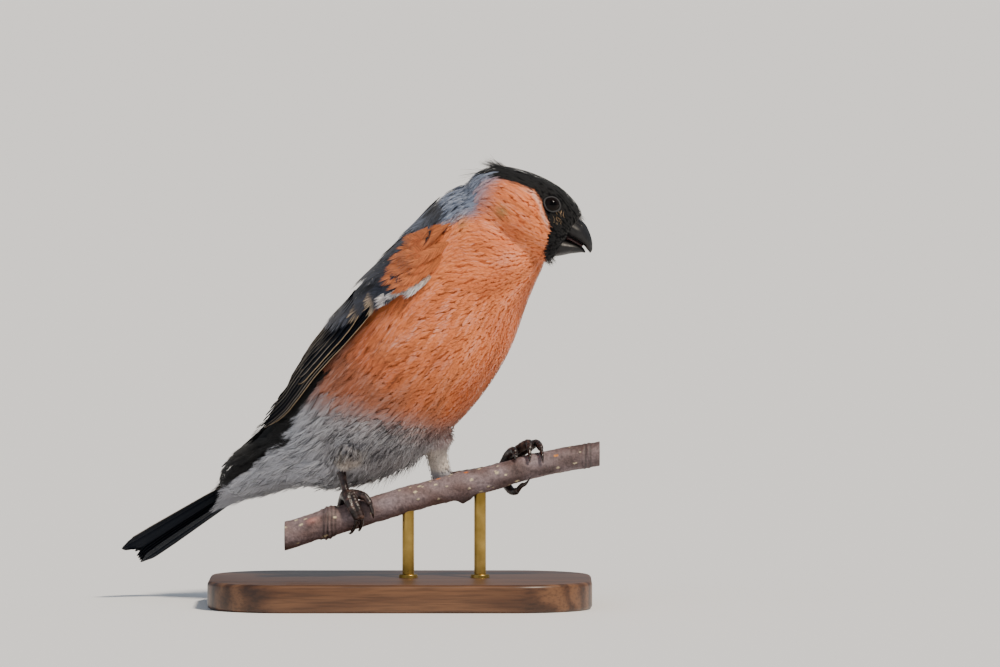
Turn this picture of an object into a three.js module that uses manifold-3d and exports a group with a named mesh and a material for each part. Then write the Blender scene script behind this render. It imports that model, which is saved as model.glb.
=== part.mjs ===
// A life-size bullfinch on a short cut length of branch, held by a plain display stand.
// Millimetres, +Z up. The viewer stands at -Y, and the bird's head is at +X.
// The origin is the centre of the underside of the stand's base.

import * as THREE from 'three';
import * as BufferGeometryUtils from 'three/addons/utils/BufferGeometryUtils.js';
import Module from 'manifold-3d';

const wasm = await Module();
wasm.setup();

const deg = Math.PI / 180;
const v3 = (x, y, z) => new THREE.Vector3(x, y, z);

// Driving dimensions

const gap = 0.3; // kept between touching pieces
const torsoYaw = 28 * deg; // how far the body turns towards the viewer
const torsoY = 3.2; // y of the spine where it crosses x = 0
const bodySides = 26; // points round the torso

// Spine stations from the tail to the head: x and z of the centre, half depth, half width
const spineStations = [
  { name: 'tail', x: -52, z: 23.4, depth: 2.2, width: 6 },
  { name: 'tailRoot', x: -42, z: 29.9, depth: 3.9, width: 7.6 },
  { name: 'undertail', x: -34.5, z: 34.6, depth: 6.9, width: 9.2 },
  { name: 'rump', x: -26.8, z: 39.2, depth: 10.2, width: 11.0 },
  { name: 'lowBelly', x: -17.4, z: 43.9, depth: 15.4, width: 14.2 },
  { name: 'belly', x: -8.4, z: 50.7, depth: 18.8, width: 17.8 },
  { name: 'middle', x: 1.5, z: 60.5, depth: 20.0, width: 19.8 },
  { name: 'breast', x: 9.6, z: 71.1, depth: 19.6, width: 20.5 },
  { name: 'shoulder', x: 17.2, z: 83.7, depth: 17.5, width: 18.2 },
  { name: 'neck', x: 22.5, z: 93.4, depth: 16.7, width: 14.8 },
  { name: 'headJoint', x: 26.6, z: 99.4, depth: 13.9, width: 11.8 },
];

// Where the torso is parted, as fractions of the length of the spine
const cutTail = 0.105;
const cutRump = 0.31;
const cutBelly = 0.52;
const cutBreast = 0.79;
const cutNeck = 0.985;

const headYaw = 8 * deg;
const headPitch = 33 * deg; // the bill points this far down
const headX = 30.75;
const headY = -11.9;
const headZ = 99.0;

// Head stations along the head's own axis: top, bottom and half width
const headStations = [
  { x: -15, top: 2.4, bottom: -2.6, width: 3.0 },
  { x: -13, top: 4.9, bottom: -5.2, width: 6.2 },
  { x: -9.5, top: 7.6, bottom: -8.5, width: 8.8 },
  { x: -6, top: 8.9, bottom: -10.2, width: 10.4 },
  { x: -2, top: 9.7, bottom: -11.0, width: 11.2 },
  { x: 2, top: 10.15, bottom: -11.1, width: 11.2 },
  { x: 5.5, top: 9.85, bottom: -10.3, width: 10.3 },
  { x: 8.5, top: 9.0, bottom: -9.0, width: 8.9 },
  { x: 11, top: 7.9, bottom: -7.3, width: 7.1 },
  { x: 13, top: 6.6, bottom: -5.4, width: 5.2 },
];

// Upper and lower mandible, in the same head axes
const upperBillStations = [
  { x: 13.3, top: 6.2, bottom: 1.0, width: 4.4 },
  { x: 14.8, top: 5.95, bottom: 1.35, width: 4.0 },
  { x: 16.2, top: 5.2, bottom: 1.6, width: 3.3 },
  { x: 17.6, top: 4.2, bottom: 1.55, width: 2.4 },
  { x: 18.8, top: 3.0, bottom: 1.1, width: 1.45 },
  { x: 19.8, top: 1.5, bottom: 0.6, width: 0.4 },
];
const lowerBillStations = [
  { x: 13.3, top: 0.6, bottom: -4.5, width: 4.2 },
  { x: 14.4, top: 0.75, bottom: -3.5, width: 3.8 },
  { x: 15.6, top: 0.85, bottom: -2.3, width: 3.2 },
  { x: 16.8, top: 0.8, bottom: -1.3, width: 2.4 },
  { x: 17.9, top: 0.5, bottom: -0.4, width: 1.4 },
  { x: 18.6, top: 0.2, bottom: -0.1, width: 0.5 },
];

const eyeRadius = 2.3;
const eyeX = 5.0;
const eyeZ = 5.6;
const eyeDepthY = 7.15; // centre of the eye, sideways from the head's middle
const lidRadius = 2.0;
const lidThickness = 0.5;
const nostrilRadius = 0.5;

// Wing feathers, from the outermost inwards. Each runs from its root to its tip as a fraction
// of the spine and an angle from the middle of the back, at a height above the body.
// The left wing mirrors the right one, and its tip reaches further back.
const wingRows = {
  primaries: {
    count: 7, thickness: 0.6, width: 6.2, tilt: 0.6, bow: -5,
    root: { u: [0.72, 0.68], angle: [66, 52], lift: [0.6, 0.6] },
    tip: {
      u: [0.29, 0.23, 0.195, 0.205, 0.24, 0.28, 0.33],
      angle: [58, 45, 35, 29, 26, 23, 20],
      lift: [0.7, 1.2],
    },
  },
  secondaries: {
    count: 6, thickness: 0.6, width: 8.6, tilt: 0.7, bow: -2,
    root: { u: [0.66, 0.66], angle: [58, 20], lift: [0.9, 0.9] },
    tip: { u: [0.4, 0.415, 0.42, 0.38, 0.39, 0.43], angle: [52, 15], lift: [1.0, 1.4] },
  },
  greaterCoverts: {
    count: 6, thickness: 0.6, width: 9.4, tilt: 0.6, bow: 0,
    root: { u: [0.79, 0.79], angle: [64, 20], lift: [0.6, 0.6] },
    tip: { u: [0.64, 0.61, 0.59, 0.575, 0.57, 0.58], angle: [57, 16], lift: [1.8, 2.1] },
  },
  medianCoverts: {
    count: 5, thickness: 0.6, width: 10.4, tilt: 0.5, bow: 0,
    root: { u: [0.855, 0.855], angle: [66, 18], lift: [0.5, 0.5] },
    tip: { u: [0.745, 0.725, 0.705, 0.695, 0.69], angle: [64, 16], lift: [1.7, 1.9] },
  },
};
const leftTip = { reach: 0.095, lift: 0.9 }; // the left wing's longest feathers go further back
const vaneSteps = [0, 0.3, 0.65, 0.9, 1];
const vaneWidths = [0.55, 0.95, 1, 0.8, 0.3];

// Tail
const tailLength = 31;
const tailYaw = 12 * deg;
const tailPitch = 33 * deg;
const tailRoll = 12 * deg; // its near edge is raised
const rectrixPairs = 6;
const rectrixWidth = 6;
const tailRootSpread = 0.6; // sideways step from feather to feather at the root
const tailTipSpread = 0.95;
const covertReach = 8.5; // how far the tail coverts cover the tail

// Legs. The right leg stands on the near side, and the left one reaches forward behind the perch.
const legs = {
  right: {
    thigh: [v3(-11.8, -5.5, 43.5), v3(-13.2, -3.4, 38.4), v3(-14.7, 0.4, 34.4)],
    thighRadii: [4.4, 3.2, 1.8],
    heel: v3(-14.8, 0.8, 33.7),
    joint: v3(-13.5, -2.2, 27.9),
    toes: [
      { points: [[-13.2, 34, 1.0], [-12.0, 68, 0.3], [-10.6, 100, 0.1]], claw: [-12.6, 150] },
      { points: [[-12.4, 26, 1.0], [-10.8, 64, 0.4], [-9.3, 104, 0.1]], claw: [-11.2, 158] },
      { points: [[-11.6, 20, 0.9], [-8.9, 40, 0.6], [-7.2, 74, 0.2]], claw: [-6.6, 122] },
      { points: [[-14.2, -24, 0.8], [-15.2, -66, 0.3], [-15.8, -100, 0.1]], claw: [-16.4, -155] },
    ],
  },
  left: {
    thigh: [v3(8.8, 3.0, 43.5), v3(8.6, 5.6, 38.2), v3(8.2, 8.2, 34.0)],
    thighRadii: [4.8, 3.6, 2.3],
    heel: v3(8.9, 8.6, 33.2),
    joint: v3(25.6, 5.6, 35.6),
    toes: [
      { points: [[27.2, -36, 0.8], [28.5, 2, 0.7], [28.9, 36, 0.2]], claw: [28.9, 68] },
      { points: [[29.4, -34, 1.2], [32.4, -2, 1.6], [32.3, 36, 0.6]], claw: [32.5, 76] },
      { points: [[29.8, -50, 1.0], [33.9, -14, 1.2], [35.2, 30, 0.4]], claw: [35.8, 86] },
      { points: [[26.2, -112, 0.7], [27.8, -150, 1.0], [29.6, -182, 1.0]], claw: [32.7, -226] },
    ],
  },
};
const toeRadii = [1.2, 1.0, 0.8];
const clawRadii = [0.72, 0.5, 0.14];
const tarsusRadius = 0.95;
const jointRadius = 1.3;

// Perch: centre line of the branch, and its thickness
const perchRadius = 3.3;
const perchStart = -29;
const perchEnd = 50;
const perchStations = [
  [-40, 15.5], [-28.25, 17.6], [-19.5, 20.4], [-13.75, 21.9], [0, 26.4],
  [10, 29.2], [21.5, 32.0], [32.25, 34.9], [43.25, 37.0], [54, 38.6],
];

// Stand
const baseLength = 96;
const baseWidth = 66;
const baseHeight = 7;
const baseCorner = 20;
const baseBevel = 1;
const rodRadius = 1.5;
const rodPlaces = [2, 20];
const rodBite = 1.6; // how far the rod's top hides in the hollow under the perch

// Materials

const material = (colour, roughness, metalness = 0) =>
  new THREE.MeshStandardMaterial({ color: colour, roughness, metalness });
const materials = {
  orangePlumage: material('#d9855b', 0.9),
  paleDown: material('#c3bdb9', 0.95),
  greyPlumage: material('#7e7f86', 0.9),
  blackPlumage: material('#17181d', 0.6),
  bill: material('#141315', 0.35),
  eye: material('#0a0807', 0.08),
  legSkin: material('#4a2f2b', 0.6),
  claw: material('#1b1615', 0.35),
  bark: material('#5d4f4d', 0.75),
  rod: material('#9a8352', 0.35, 1),
  baseWood: material('#4b3526', 0.5),
};

// Solids

function closedGeometry(points, index) {
  const geometry = new THREE.BufferGeometry();
  geometry.setAttribute('position', new THREE.Float32BufferAttribute(points, 3));
  geometry.setIndex(index);
  return geometry;
}

function toSolid(geometry) {
  const bare = geometry.clone();
  bare.deleteAttribute('normal');
  bare.deleteAttribute('uv');
  const merged = BufferGeometryUtils.mergeVertices(bare, 1e-4);
  const mesh = (triVerts) =>
    new wasm.Mesh({
      numProp: 3,
      vertProperties: new Float32Array(merged.attributes.position.array),
      triVerts,
    });
  const triVerts = new Uint32Array(merged.index.array);
  const solid = new wasm.Manifold(mesh(triVerts));
  if (solid.volume() > 0) return solid;
  for (let i = 0; i < triVerts.length; i += 3) {
    [triVerts[i], triVerts[i + 1]] = [triVerts[i + 1], triVerts[i]];
  }
  return new wasm.Manifold(mesh(triVerts));
}

function toGeometry(solid) {
  const mesh = solid.getMesh();
  const geometry = new THREE.BufferGeometry();
  geometry.setAttribute(
    'position', new THREE.Float32BufferAttribute(new Float32Array(mesh.vertProperties), 3));
  geometry.setIndex(Array.from(mesh.triVerts));
  return geometry;
}

function joined(solids) {
  return solids.reduce((sum, next) => sum.add(next));
}

// The largest closed surface of a solid: fills a sealed hollow and drops a loose scrap
function largest(solid) {
  const pieces = solid.decompose();
  return pieces.reduce((best, next) => (next.volume() > best.volume() ? next : best));
}

// A skin through rings of points, closed by a fan at each end
function loft(rings) {
  const sides = rings[0].length;
  const points = rings.flat().flatMap((p) => [p.x, p.y, p.z]);
  const index = [];
  for (let i = 0; i + 1 < rings.length; i += 1) {
    for (let j = 0; j < sides; j += 1) {
      const k = (j + 1) % sides;
      const [a, b, c, d] = [i * sides + j, i * sides + k, (i + 1) * sides + j, (i + 1) * sides + k];
      index.push(a, b, d, a, d, c);
    }
  }
  const addCap = (ring, first, reversed) => {
    const centre = ring.reduce((sum, p) => sum.add(p), v3(0, 0, 0)).multiplyScalar(1 / sides);
    const hub = points.length / 3;
    points.push(centre.x, centre.y, centre.z);
    for (let j = 0; j < sides; j += 1) {
      const k = (j + 1) % sides;
      index.push(hub, reversed ? first + k : first + j, reversed ? first + j : first + k);
    }
  };
  addCap(rings[0], 0, true);
  addCap(rings.at(-1), (rings.length - 1) * sides, false);
  return toSolid(closedGeometry(points, index));
}

// A thin plate from two grids of points, split alike on both faces
function plate(top, bottom) {
  const rows = top.length;
  const columns = top[0].length;
  const points = [...top.flat(), ...bottom.flat()].flatMap((p) => [p.x, p.y, p.z]);
  const index = [];
  const at = (i, j) => i * columns + j;
  const under = rows * columns;
  for (let i = 0; i + 1 < rows; i += 1) {
    for (let j = 0; j + 1 < columns; j += 1) {
      const [a, b, c, d] = [at(i, j), at(i, j + 1), at(i + 1, j), at(i + 1, j + 1)];
      index.push(a, b, d, a, d, c);
      index.push(under + a, under + d, under + b, under + a, under + c, under + d);
    }
  }
  const wall = (a, b) => index.push(a, b, under + a, b, under + b, under + a);
  for (let i = 0; i + 1 < rows; i += 1) {
    wall(at(i, 0), at(i + 1, 0));
    wall(at(i + 1, columns - 1), at(i, columns - 1));
  }
  for (let j = 0; j + 1 < columns; j += 1) {
    wall(at(0, j + 1), at(0, j));
    wall(at(rows - 1, j), at(rows - 1, j + 1));
  }
  return toSolid(closedGeometry(points, index));
}

// A tapering limb through centre points, each with its own radius
function limb(points, radii, sides) {
  const curve = new THREE.CatmullRomCurve3(points, false, 'centripetal');
  const steps = (points.length - 1) * 2;
  const frames = curve.computeFrenetFrames(steps, false);
  const rings = [];
  for (let i = 0; i <= steps; i += 1) {
    const t = i / steps;
    const place = t * (radii.length - 1);
    const from = Math.min(Math.floor(place), radii.length - 2);
    const radius = THREE.MathUtils.lerp(radii[from], radii[from + 1], place - from);
    const centre = curve.getPoint(curve.getUtoTmapping(t));
    const ring = [];
    for (let j = 0; j < sides; j += 1) {
      const angle = (j / sides) * 2 * Math.PI;
      ring.push(centre.clone()
        .addScaledVector(frames.normals[i], radius * Math.cos(angle))
        .addScaledVector(frames.binormals[i], radius * Math.sin(angle)));
    }
    rings.push(ring);
  }
  return loft(rings);
}

// Smooth value between stations spaced evenly in the curve's own parameter
function between(values, place) {
  const i = Math.min(Math.max(Math.floor(place), 0), values.length - 2);
  const t = place - i;
  const [b, c] = [values[i], values[i + 1]];
  const a = values[Math.max(i - 1, 0)];
  const d = values[Math.min(i + 2, values.length - 1)];
  const [slopeB, slopeC] = [(c - a) / 2, (d - b) / 2];
  return b + slopeB * t + (3 * (c - b) - 2 * slopeB - slopeC) * t * t
    + (slopeB + slopeC - 2 * (c - b)) * t * t * t;
}

// Torso: a surface round the spine, with an angle from the middle of the back
// (positive to the bird's right, the viewer's side) and a height above the surface

const birdRight = v3(-Math.sin(torsoYaw), -Math.cos(torsoYaw), 0);
const spine = new THREE.CatmullRomCurve3(
  spineStations.map((s) => v3(s.x, torsoY - Math.tan(torsoYaw) * s.x, s.z)), false, 'centripetal');
spine.arcLengthDivisions = 600;

function bodyFrame(u) {
  const t = spine.getUtoTmapping(u);
  const place = t * (spineStations.length - 1);
  const along = spine.getTangent(t);
  return {
    centre: spine.getPoint(t),
    along,
    up: birdRight.clone().cross(along).normalize(),
    depth: between(spineStations.map((s) => s.depth), place),
    width: between(spineStations.map((s) => s.width), place),
  };
}

function bodyPoint(u, angle, height = 0) {
  const { centre, up, depth, width } = bodyFrame(u);
  return centre
    .addScaledVector(up, (depth + height) * Math.cos(angle))
    .addScaledVector(birdRight, (width + height) * Math.sin(angle));
}

function torsoPiece(from, to, steps, height = 0) {
  const rings = [];
  for (let i = 0; i <= steps; i += 1) {
    const u = from + ((to - from) * i) / steps;
    rings.push(Array.from({ length: bodySides }, (_, j) =>
      bodyPoint(u, ((j + 0.5) / bodySides) * 2 * Math.PI, height)));
  }
  return loft(rings);
}

// Head

const headTurn = new THREE.Matrix4()
  .makeTranslation(headX, headY, headZ)
  .multiply(new THREE.Matrix4().makeRotationZ(-headYaw))
  .multiply(new THREE.Matrix4().makeRotationY(headPitch));

function headPoint(x, y, z) {
  return v3(x, y, z).applyMatrix4(headTurn);
}

function headLoft(stations, sides, height = 0, steps = 1) {
  const rings = [];
  const count = (stations.length - 1) * steps;
  for (let i = 0; i <= count; i += 1) {
    const place = i / steps;
    const value = (key) => between(stations.map((s) => s[key]), place);
    const end = i === 0 ? -height : i === count ? height : 0;
    const [top, bottom, width] = [value('top'), value('bottom'), value('width')];
    const middle = (top + bottom) / 2;
    const half = (top - bottom) / 2 + height;
    rings.push(Array.from({ length: sides }, (_, j) => {
      const angle = ((j + 0.5) / sides) * 2 * Math.PI;
      return headPoint(
        value('x') + end, (width + height) * Math.sin(angle), middle + half * Math.cos(angle));
    }));
  }
  return loft(rings);
}

function ball(radius, centre, detail = 13) {
  const geometry = new THREE.SphereGeometry(radius, detail, Math.round(detail * 0.6));
  geometry.rotateX(Math.PI / 2);
  geometry.translate(centre.x, centre.y, centre.z);
  return toSolid(geometry);
}

// side is 1 on the bird's left and -1 on its right
function eyeCentre(side) {
  return headPoint(eyeX, side * eyeDepthY, eyeZ);
}

function lidRing(side) {
  const ring = new THREE.TorusGeometry(lidRadius, lidThickness, 5, 15);
  ring.rotateX(90 * deg);
  ring.rotateX(side * 22 * deg);
  ring.rotateZ(side * -10 * deg);
  ring.translate(eyeX, side * (eyeDepthY + 1.25), eyeZ + 0.35);
  ring.applyMatrix4(headTurn);
  return toSolid(ring);
}

function makeHead() {
  let head = headLoft(headStations, 26, 0, 2);
  for (const side of [-1, 1]) {
    head = head.add(lidRing(side));
    head = head.subtract(ball(eyeRadius + gap, eyeCentre(side)));
  }
  return head;
}

function makeUpperBill() {
  let bill = headLoft(upperBillStations, 12, 0, 2);
  for (const side of [-1, 1]) {
    bill = bill.subtract(ball(nostrilRadius, headPoint(14.2, side * 3.1, 5.3), 8));
  }
  return bill;
}

// Perch

const perchCurve = new THREE.CatmullRomCurve3(
  perchStations.map(([x, z]) => v3(x, 0, z)), false, 'centripetal');

function perchCentre(x) {
  let [low, high] = [0, 1];
  for (let i = 0; i < 30; i += 1) {
    const middle = (low + high) / 2;
    if (perchCurve.getPoint(middle).x < x) low = middle;
    else high = middle;
  }
  return perchCurve.getPoint((low + high) / 2);
}

function perchRadiusAt(x) {
  const ring = Math.exp(-(((x + 18) / 1.4) ** 2)); // raised ring of an old leaf scar
  const scar = Math.exp(-(((x - 15.5) / 2.2) ** 2));
  return perchRadius * (1 - 0.0022 * x) + 0.45 * ring + 0.2 * scar;
}

function makePerch(grow = 0) {
  const sides = 12;
  const steps = 22;
  const rings = [];
  for (let i = 0; i <= steps; i += 1) {
    const x = THREE.MathUtils.lerp(perchStart, perchEnd, i / steps);
    const centre = perchCentre(x);
    const along = perchCentre(x + 0.1).sub(perchCentre(x - 0.1)).normalize();
    const up = v3(0, -1, 0).cross(along);
    const radius = perchRadiusAt(x) + grow;
    rings.push(Array.from({ length: sides }, (_, j) => {
      const angle = ((j + 0.5) / sides) * 2 * Math.PI;
      return centre.clone()
        .addScaledVector(up, radius * Math.cos(angle))
        .addScaledVector(v3(0, 1, 0), radius * Math.sin(angle));
    }));
  }
  return loft(rings);
}

// Stand

function rod(x, radius, top) {
  const geometry = new THREE.CylinderGeometry(radius, radius, top - baseHeight - gap, 16);
  geometry.rotateX(Math.PI / 2);
  geometry.translate(x, 0, (top + baseHeight + gap) / 2);
  return toSolid(geometry);
}

function rodTop(x) {
  return perchCentre(x).z - perchRadiusAt(x) + rodBite;
}

function makeBase() {
  const [w, h, r] = [baseLength / 2 - baseBevel, baseWidth / 2 - baseBevel, baseCorner - baseBevel];
  const outline = new THREE.Shape();
  outline.moveTo(-w + r, -h);
  outline.lineTo(w - r, -h);
  outline.absarc(w - r, -h + r, r, -90 * deg, 0, false);
  outline.absarc(w - r, h - r, r, 0, 90 * deg, false);
  outline.absarc(-w + r, h - r, r, 90 * deg, 180 * deg, false);
  outline.absarc(-w + r, -h + r, r, 180 * deg, 270 * deg, false);
  const geometry = new THREE.ExtrudeGeometry(outline, {
    depth: baseHeight - 2 * baseBevel,
    bevelThickness: baseBevel,
    bevelSize: baseBevel,
    bevelSegments: 1,
    curveSegments: 5,
  });
  geometry.translate(0, 0, baseBevel);
  return toSolid(geometry);
}

// Feathers on the body

const mix = THREE.MathUtils.lerp;

// Value for one of count feathers: either listed one by one or spread evenly
function spread(values, i, count) {
  return values.length === count ? values[i] : mix(values[0], values[1], i / (count - 1));
}

// A vane laid on the body. Its outer edge stands higher, so it lies over its outer neighbour.
function bodyVane(root, tip, look, side, grow) {
  const [top, bottom] = [[], []];
  vaneSteps.forEach((t, i) => {
    const u = mix(root.u, tip.u, t) - (i === vaneSteps.length - 1 ? grow / spine.getLength() : 0);
    const angle = mix(root.angle, tip.angle, t) + look.bow * Math.sin(Math.PI * t);
    const lift = mix(root.lift, tip.lift, Math.min(1, 1.6 * t));
    const { depth } = bodyFrame(u);
    const half = (look.width * vaneWidths[i]) / 2 + grow;
    const halfAngle = half / (depth + 2) / deg;
    const row = (extra) => [1, -1].map((edge) => bodyPoint(
      u, side * (angle + edge * halfAngle) * deg,
      lift + (edge > 0 ? look.tilt : 0) + extra));
    top.push(row(look.thickness + grow));
    bottom.push(row(-grow));
  });
  return plate(top, bottom);
}

// One tier of a wing. side is 1 on the bird's right and -1 on its left.
function wingTier(name, side, grow = 0) {
  const row = wingRows[name];
  const far = side < 0 && name === 'primaries' ? leftTip : { reach: 0, lift: 0 };
  const vanes = [];
  for (let i = 0; i < row.count; i += 1) {
    const place = (end) => ({
      u: spread(end.u, i, row.count),
      angle: spread(end.angle, i, row.count),
      lift: spread(end.lift, i, row.count),
    });
    const tip = place(row.tip);
    tip.u -= far.reach;
    tip.lift += far.lift;
    vanes.push(bodyVane(place(row.root), tip, row, side, grow));
  }
  return joined(vanes);
}

// Tail, in axes of its own: a runs back along it, s to the bird's right, n out of its top

const tailRoot = bodyFrame(cutTail).centre;
const tailTurn = new THREE.Matrix4()
  .makeRotationZ(-tailYaw)
  .multiply(new THREE.Matrix4().makeRotationY(-tailPitch))
  .multiply(new THREE.Matrix4().makeRotationX(-tailRoll));

function tailPoint(a, s, n) {
  return v3(-a, -s, n).applyMatrix4(tailTurn).add(tailRoot);
}

function tailVane(from, to, width, thickness, tilt, grow = 0) {
  const [top, bottom] = [[], []];
  vaneSteps.forEach((t, i) => {
    const half = (width * Math.max(vaneWidths[i], 0.55)) / 2 + grow;
    const a = mix(from.a, to.a, t) + (i === vaneSteps.length - 1 ? grow : 0);
    const s = mix(from.s, to.s, t);
    const n = mix(from.n, to.n, t);
    const row = (extra) => [1, -1].map((edge) =>
      tailPoint(a, s + edge * half, n + edge * Math.sign(s) * tilt + extra));
    top.push(row(thickness / 2 + grow));
    bottom.push(row(-thickness / 2 - grow));
  });
  return plate(top, bottom);
}

function makeTail(grow = 0) {
  const vanes = [];
  for (let k = 0; k < rectrixPairs; k += 1) {
    for (const side of [-1, 1]) {
      const n = 1.2 - 0.3 * k;
      vanes.push(tailVane(
        { a: gap, s: side * (0.5 + tailRootSpread * k), n },
        { a: tailLength - 1.2 + 0.3 * k, s: side * (1.2 + tailTipSpread * k), n: n + 0.1 * k },
        rectrixWidth, 0.7, 0.22, grow));
    }
  }
  return joined(vanes);
}

// Coverts over and under the root of the tail
function tailCoverts(grow = 0) {
  const vanes = [];
  for (const [over, count] of [[1, 3], [-1, 4]]) {
    for (let i = 0; i < count; i += 1) {
      const s = (i - (count - 1) / 2) * (8.4 / count) + 0.01;
      const centred = 1 - Math.abs(s) / 8;
      vanes.push(tailVane(
        { a: -6, s: s * 1.2, n: over * 2.6 * centred },
        { a: covertReach * centred, s, n: over * 2.3 },
        5.2, 0.8, -0.2 * over, grow));
    }
  }
  return joined(vanes);
}

// Legs

// A point beside the perch: x along it, angle round it from the top towards the viewer,
// and how far its skin stands off the bark
function roundPerch(x, angle, clearance) {
  const centre = perchCentre(x);
  const radius = perchRadiusAt(x) + clearance;
  return centre.add(v3(0, -radius * Math.sin(angle * deg), radius * Math.cos(angle * deg)));
}

function toePoints(toe) {
  return toe.points.map(([x, angle, lift], i) => roundPerch(x, angle, toeRadii[i] + gap + lift));
}

function makeToe(leg, toe, grow) {
  const points = [leg.joint.clone(), ...toePoints(toe)];
  const [before, last] = points.slice(-2);
  last.addScaledVector(last.clone().sub(before).normalize(), grow);
  return limb(points, [toeRadii[0], ...toeRadii].map((radius) => radius + grow), 6);
}

function makeFoot(leg, grow = 0) {
  const toes = leg.toes.map((toe) => makeToe(leg, toe, grow));
  return joined([ball(jointRadius + grow, leg.joint, 10), ...toes]);
}

function makeClaw(toe) {
  const tip = toePoints(toe).at(-1);
  const [endX, endAngle] = toe.claw;
  const [lastX, lastAngle] = toe.points.at(-1);
  const middle = roundPerch(mix(lastX, endX, 0.55), mix(lastAngle, endAngle, 0.5), 1.5);
  const end = roundPerch(endX, endAngle, 0.6);
  const start = tip.clone().add(middle.clone().sub(tip).setLength(gap + 0.15));
  return limb([start, middle, end], clawRadii, 6);
}

function makeThigh(leg, grow = 0) {
  const points = leg.thigh.map((p) => p.clone());
  const [before, last] = points.slice(-2);
  last.addScaledVector(last.clone().sub(before).normalize(), grow);
  return limb(points, leg.thighRadii.map((radius) => radius + grow), 14);
}

function makeTarsus(leg) {
  const along = leg.joint.clone().sub(leg.heel).normalize();
  const end = leg.joint.clone().addScaledVector(along, -(jointRadius + gap));
  return limb([leg.heel, end], [tarsusRadius * 1.15, tarsusRadius], 10);
}

// The whole model

const bullfinch = new THREE.Group();

function add(name, solid, look) {
  const mesh = new THREE.Mesh(toGeometry(largest(solid)), look);
  mesh.name = name;
  bullfinch.add(mesh);
  return mesh;
}

const halfGap = gap / 2 / spine.getLength();
const head = makeHead();
const headRoom = headLoft(headStations, 26, gap, 2);
const torsoRoom = torsoPiece(cutTail - 0.01, cutNeck, 30, gap);
const perchRoom = makePerch(gap);

const tail = makeTail();
add('rump', torsoPiece(cutTail, cutRump - halfGap, 8).add(tailCoverts()).subtract(makeTail(gap)),
  materials.paleDown);
add('belly', torsoPiece(cutRump + halfGap, cutBelly - halfGap, 8), materials.paleDown);
add('breast', torsoPiece(cutBelly + halfGap, cutBreast - halfGap, 9), materials.orangePlumage);
add('neck', torsoPiece(cutBreast + halfGap, cutNeck, 6).subtract(headRoom),
  materials.orangePlumage);
add('head', head, materials.blackPlumage);
add('bill_upper', makeUpperBill(), materials.bill);
add('bill_lower', headLoft(lowerBillStations, 12, 0, 2), materials.bill);
for (const [name, side] of [['eye_left', 1], ['eye_right', -1]]) {
  add(name, ball(eyeRadius, eyeCentre(side)), materials.eye);
}

add('tail', tail, materials.blackPlumage);
for (const [word, side] of [['left', -1], ['right', 1]]) {
  const coverts = (grow) =>
    wingTier('greaterCoverts', side, grow).add(wingTier('medianCoverts', side, grow));
  const bodyRoom = torsoRoom.add(tailCoverts(gap));
  const covertRoom = coverts(gap);
  const secondaryRoom = wingTier('secondaries', side, gap);
  add(`wing_${word}_coverts`, coverts(0).subtract(bodyRoom), materials.greyPlumage);
  add(`wing_${word}_secondaries`,
    wingTier('secondaries', side).subtract(bodyRoom).subtract(covertRoom),
    materials.blackPlumage);
  add(`wing_${word}_primaries`,
    wingTier('primaries', side).subtract(bodyRoom).subtract(covertRoom).subtract(secondaryRoom),
    materials.blackPlumage);
}
for (const [word, leg] of Object.entries(legs)) {
  add(`leg_${word}_thigh`, makeThigh(leg).subtract(torsoRoom), materials.paleDown);
  add(`leg_${word}_tarsus`, makeTarsus(leg).subtract(makeThigh(leg, gap)).subtract(torsoRoom),
    materials.legSkin);
  add(`foot_${word}`, makeFoot(leg).subtract(perchRoom), materials.legSkin);
  const clawCut = makeFoot(leg, gap).add(perchRoom);
  leg.toes.forEach((toe, i) => {
    add(`claw_${word}_${i + 1}`, makeClaw(toe).subtract(clawCut), materials.claw);
  });
}

const rodHoles = rodPlaces.map((x) => rod(x, rodRadius + gap, rodTop(x) + gap));
add('perch', makePerch().subtract(joined(rodHoles)), materials.bark);
rodPlaces.forEach((x, i) => {
  add(`stand_rod_${i + 1}`, rod(x, rodRadius, rodTop(x)), materials.rod);
});
add('stand_base', makeBase(), materials.baseWood);

export default bullfinch;
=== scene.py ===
# %% [markdown]
# # A bullfinch on its perch
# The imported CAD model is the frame. It says where the bird, the branch and the stand are,
# and how big each one is. This notebook dresses that frame: a skin, a coat of small feathers,
# the wing and tail feathers, then eyes, bill, feet and claws, the branch and the stand.
# Everything is in metres at the end, but a bird is easier to think of in millimetres, so the
# numbers below are millimetres and one constant turns them into metres.

import math

import bpy
import numpy as np
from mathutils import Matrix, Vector, noise
from mathutils.bvhtree import BVHTree


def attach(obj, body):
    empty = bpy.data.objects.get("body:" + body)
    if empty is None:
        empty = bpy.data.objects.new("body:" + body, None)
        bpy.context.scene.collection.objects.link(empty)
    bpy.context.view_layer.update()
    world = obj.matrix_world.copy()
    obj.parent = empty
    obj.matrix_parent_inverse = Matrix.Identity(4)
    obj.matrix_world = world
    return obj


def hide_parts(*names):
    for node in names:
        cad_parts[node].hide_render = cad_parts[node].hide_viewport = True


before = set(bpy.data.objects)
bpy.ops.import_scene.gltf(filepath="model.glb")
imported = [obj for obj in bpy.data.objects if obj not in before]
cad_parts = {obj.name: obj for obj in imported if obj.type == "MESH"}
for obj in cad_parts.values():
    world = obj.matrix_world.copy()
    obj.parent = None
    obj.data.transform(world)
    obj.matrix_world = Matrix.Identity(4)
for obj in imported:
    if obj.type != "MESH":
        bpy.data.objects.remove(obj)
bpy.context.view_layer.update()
MM = 0.001

# %% [markdown]
# A material is a small graph of nodes. Colours are easiest to pick as sRGB hex values, but
# Blender shades in linear light, so one function turns a hex value into linear numbers.
# One more function adds a node, sets it up and links it, so that a recipe reads line by line.

# %% Colours and nodes


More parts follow.
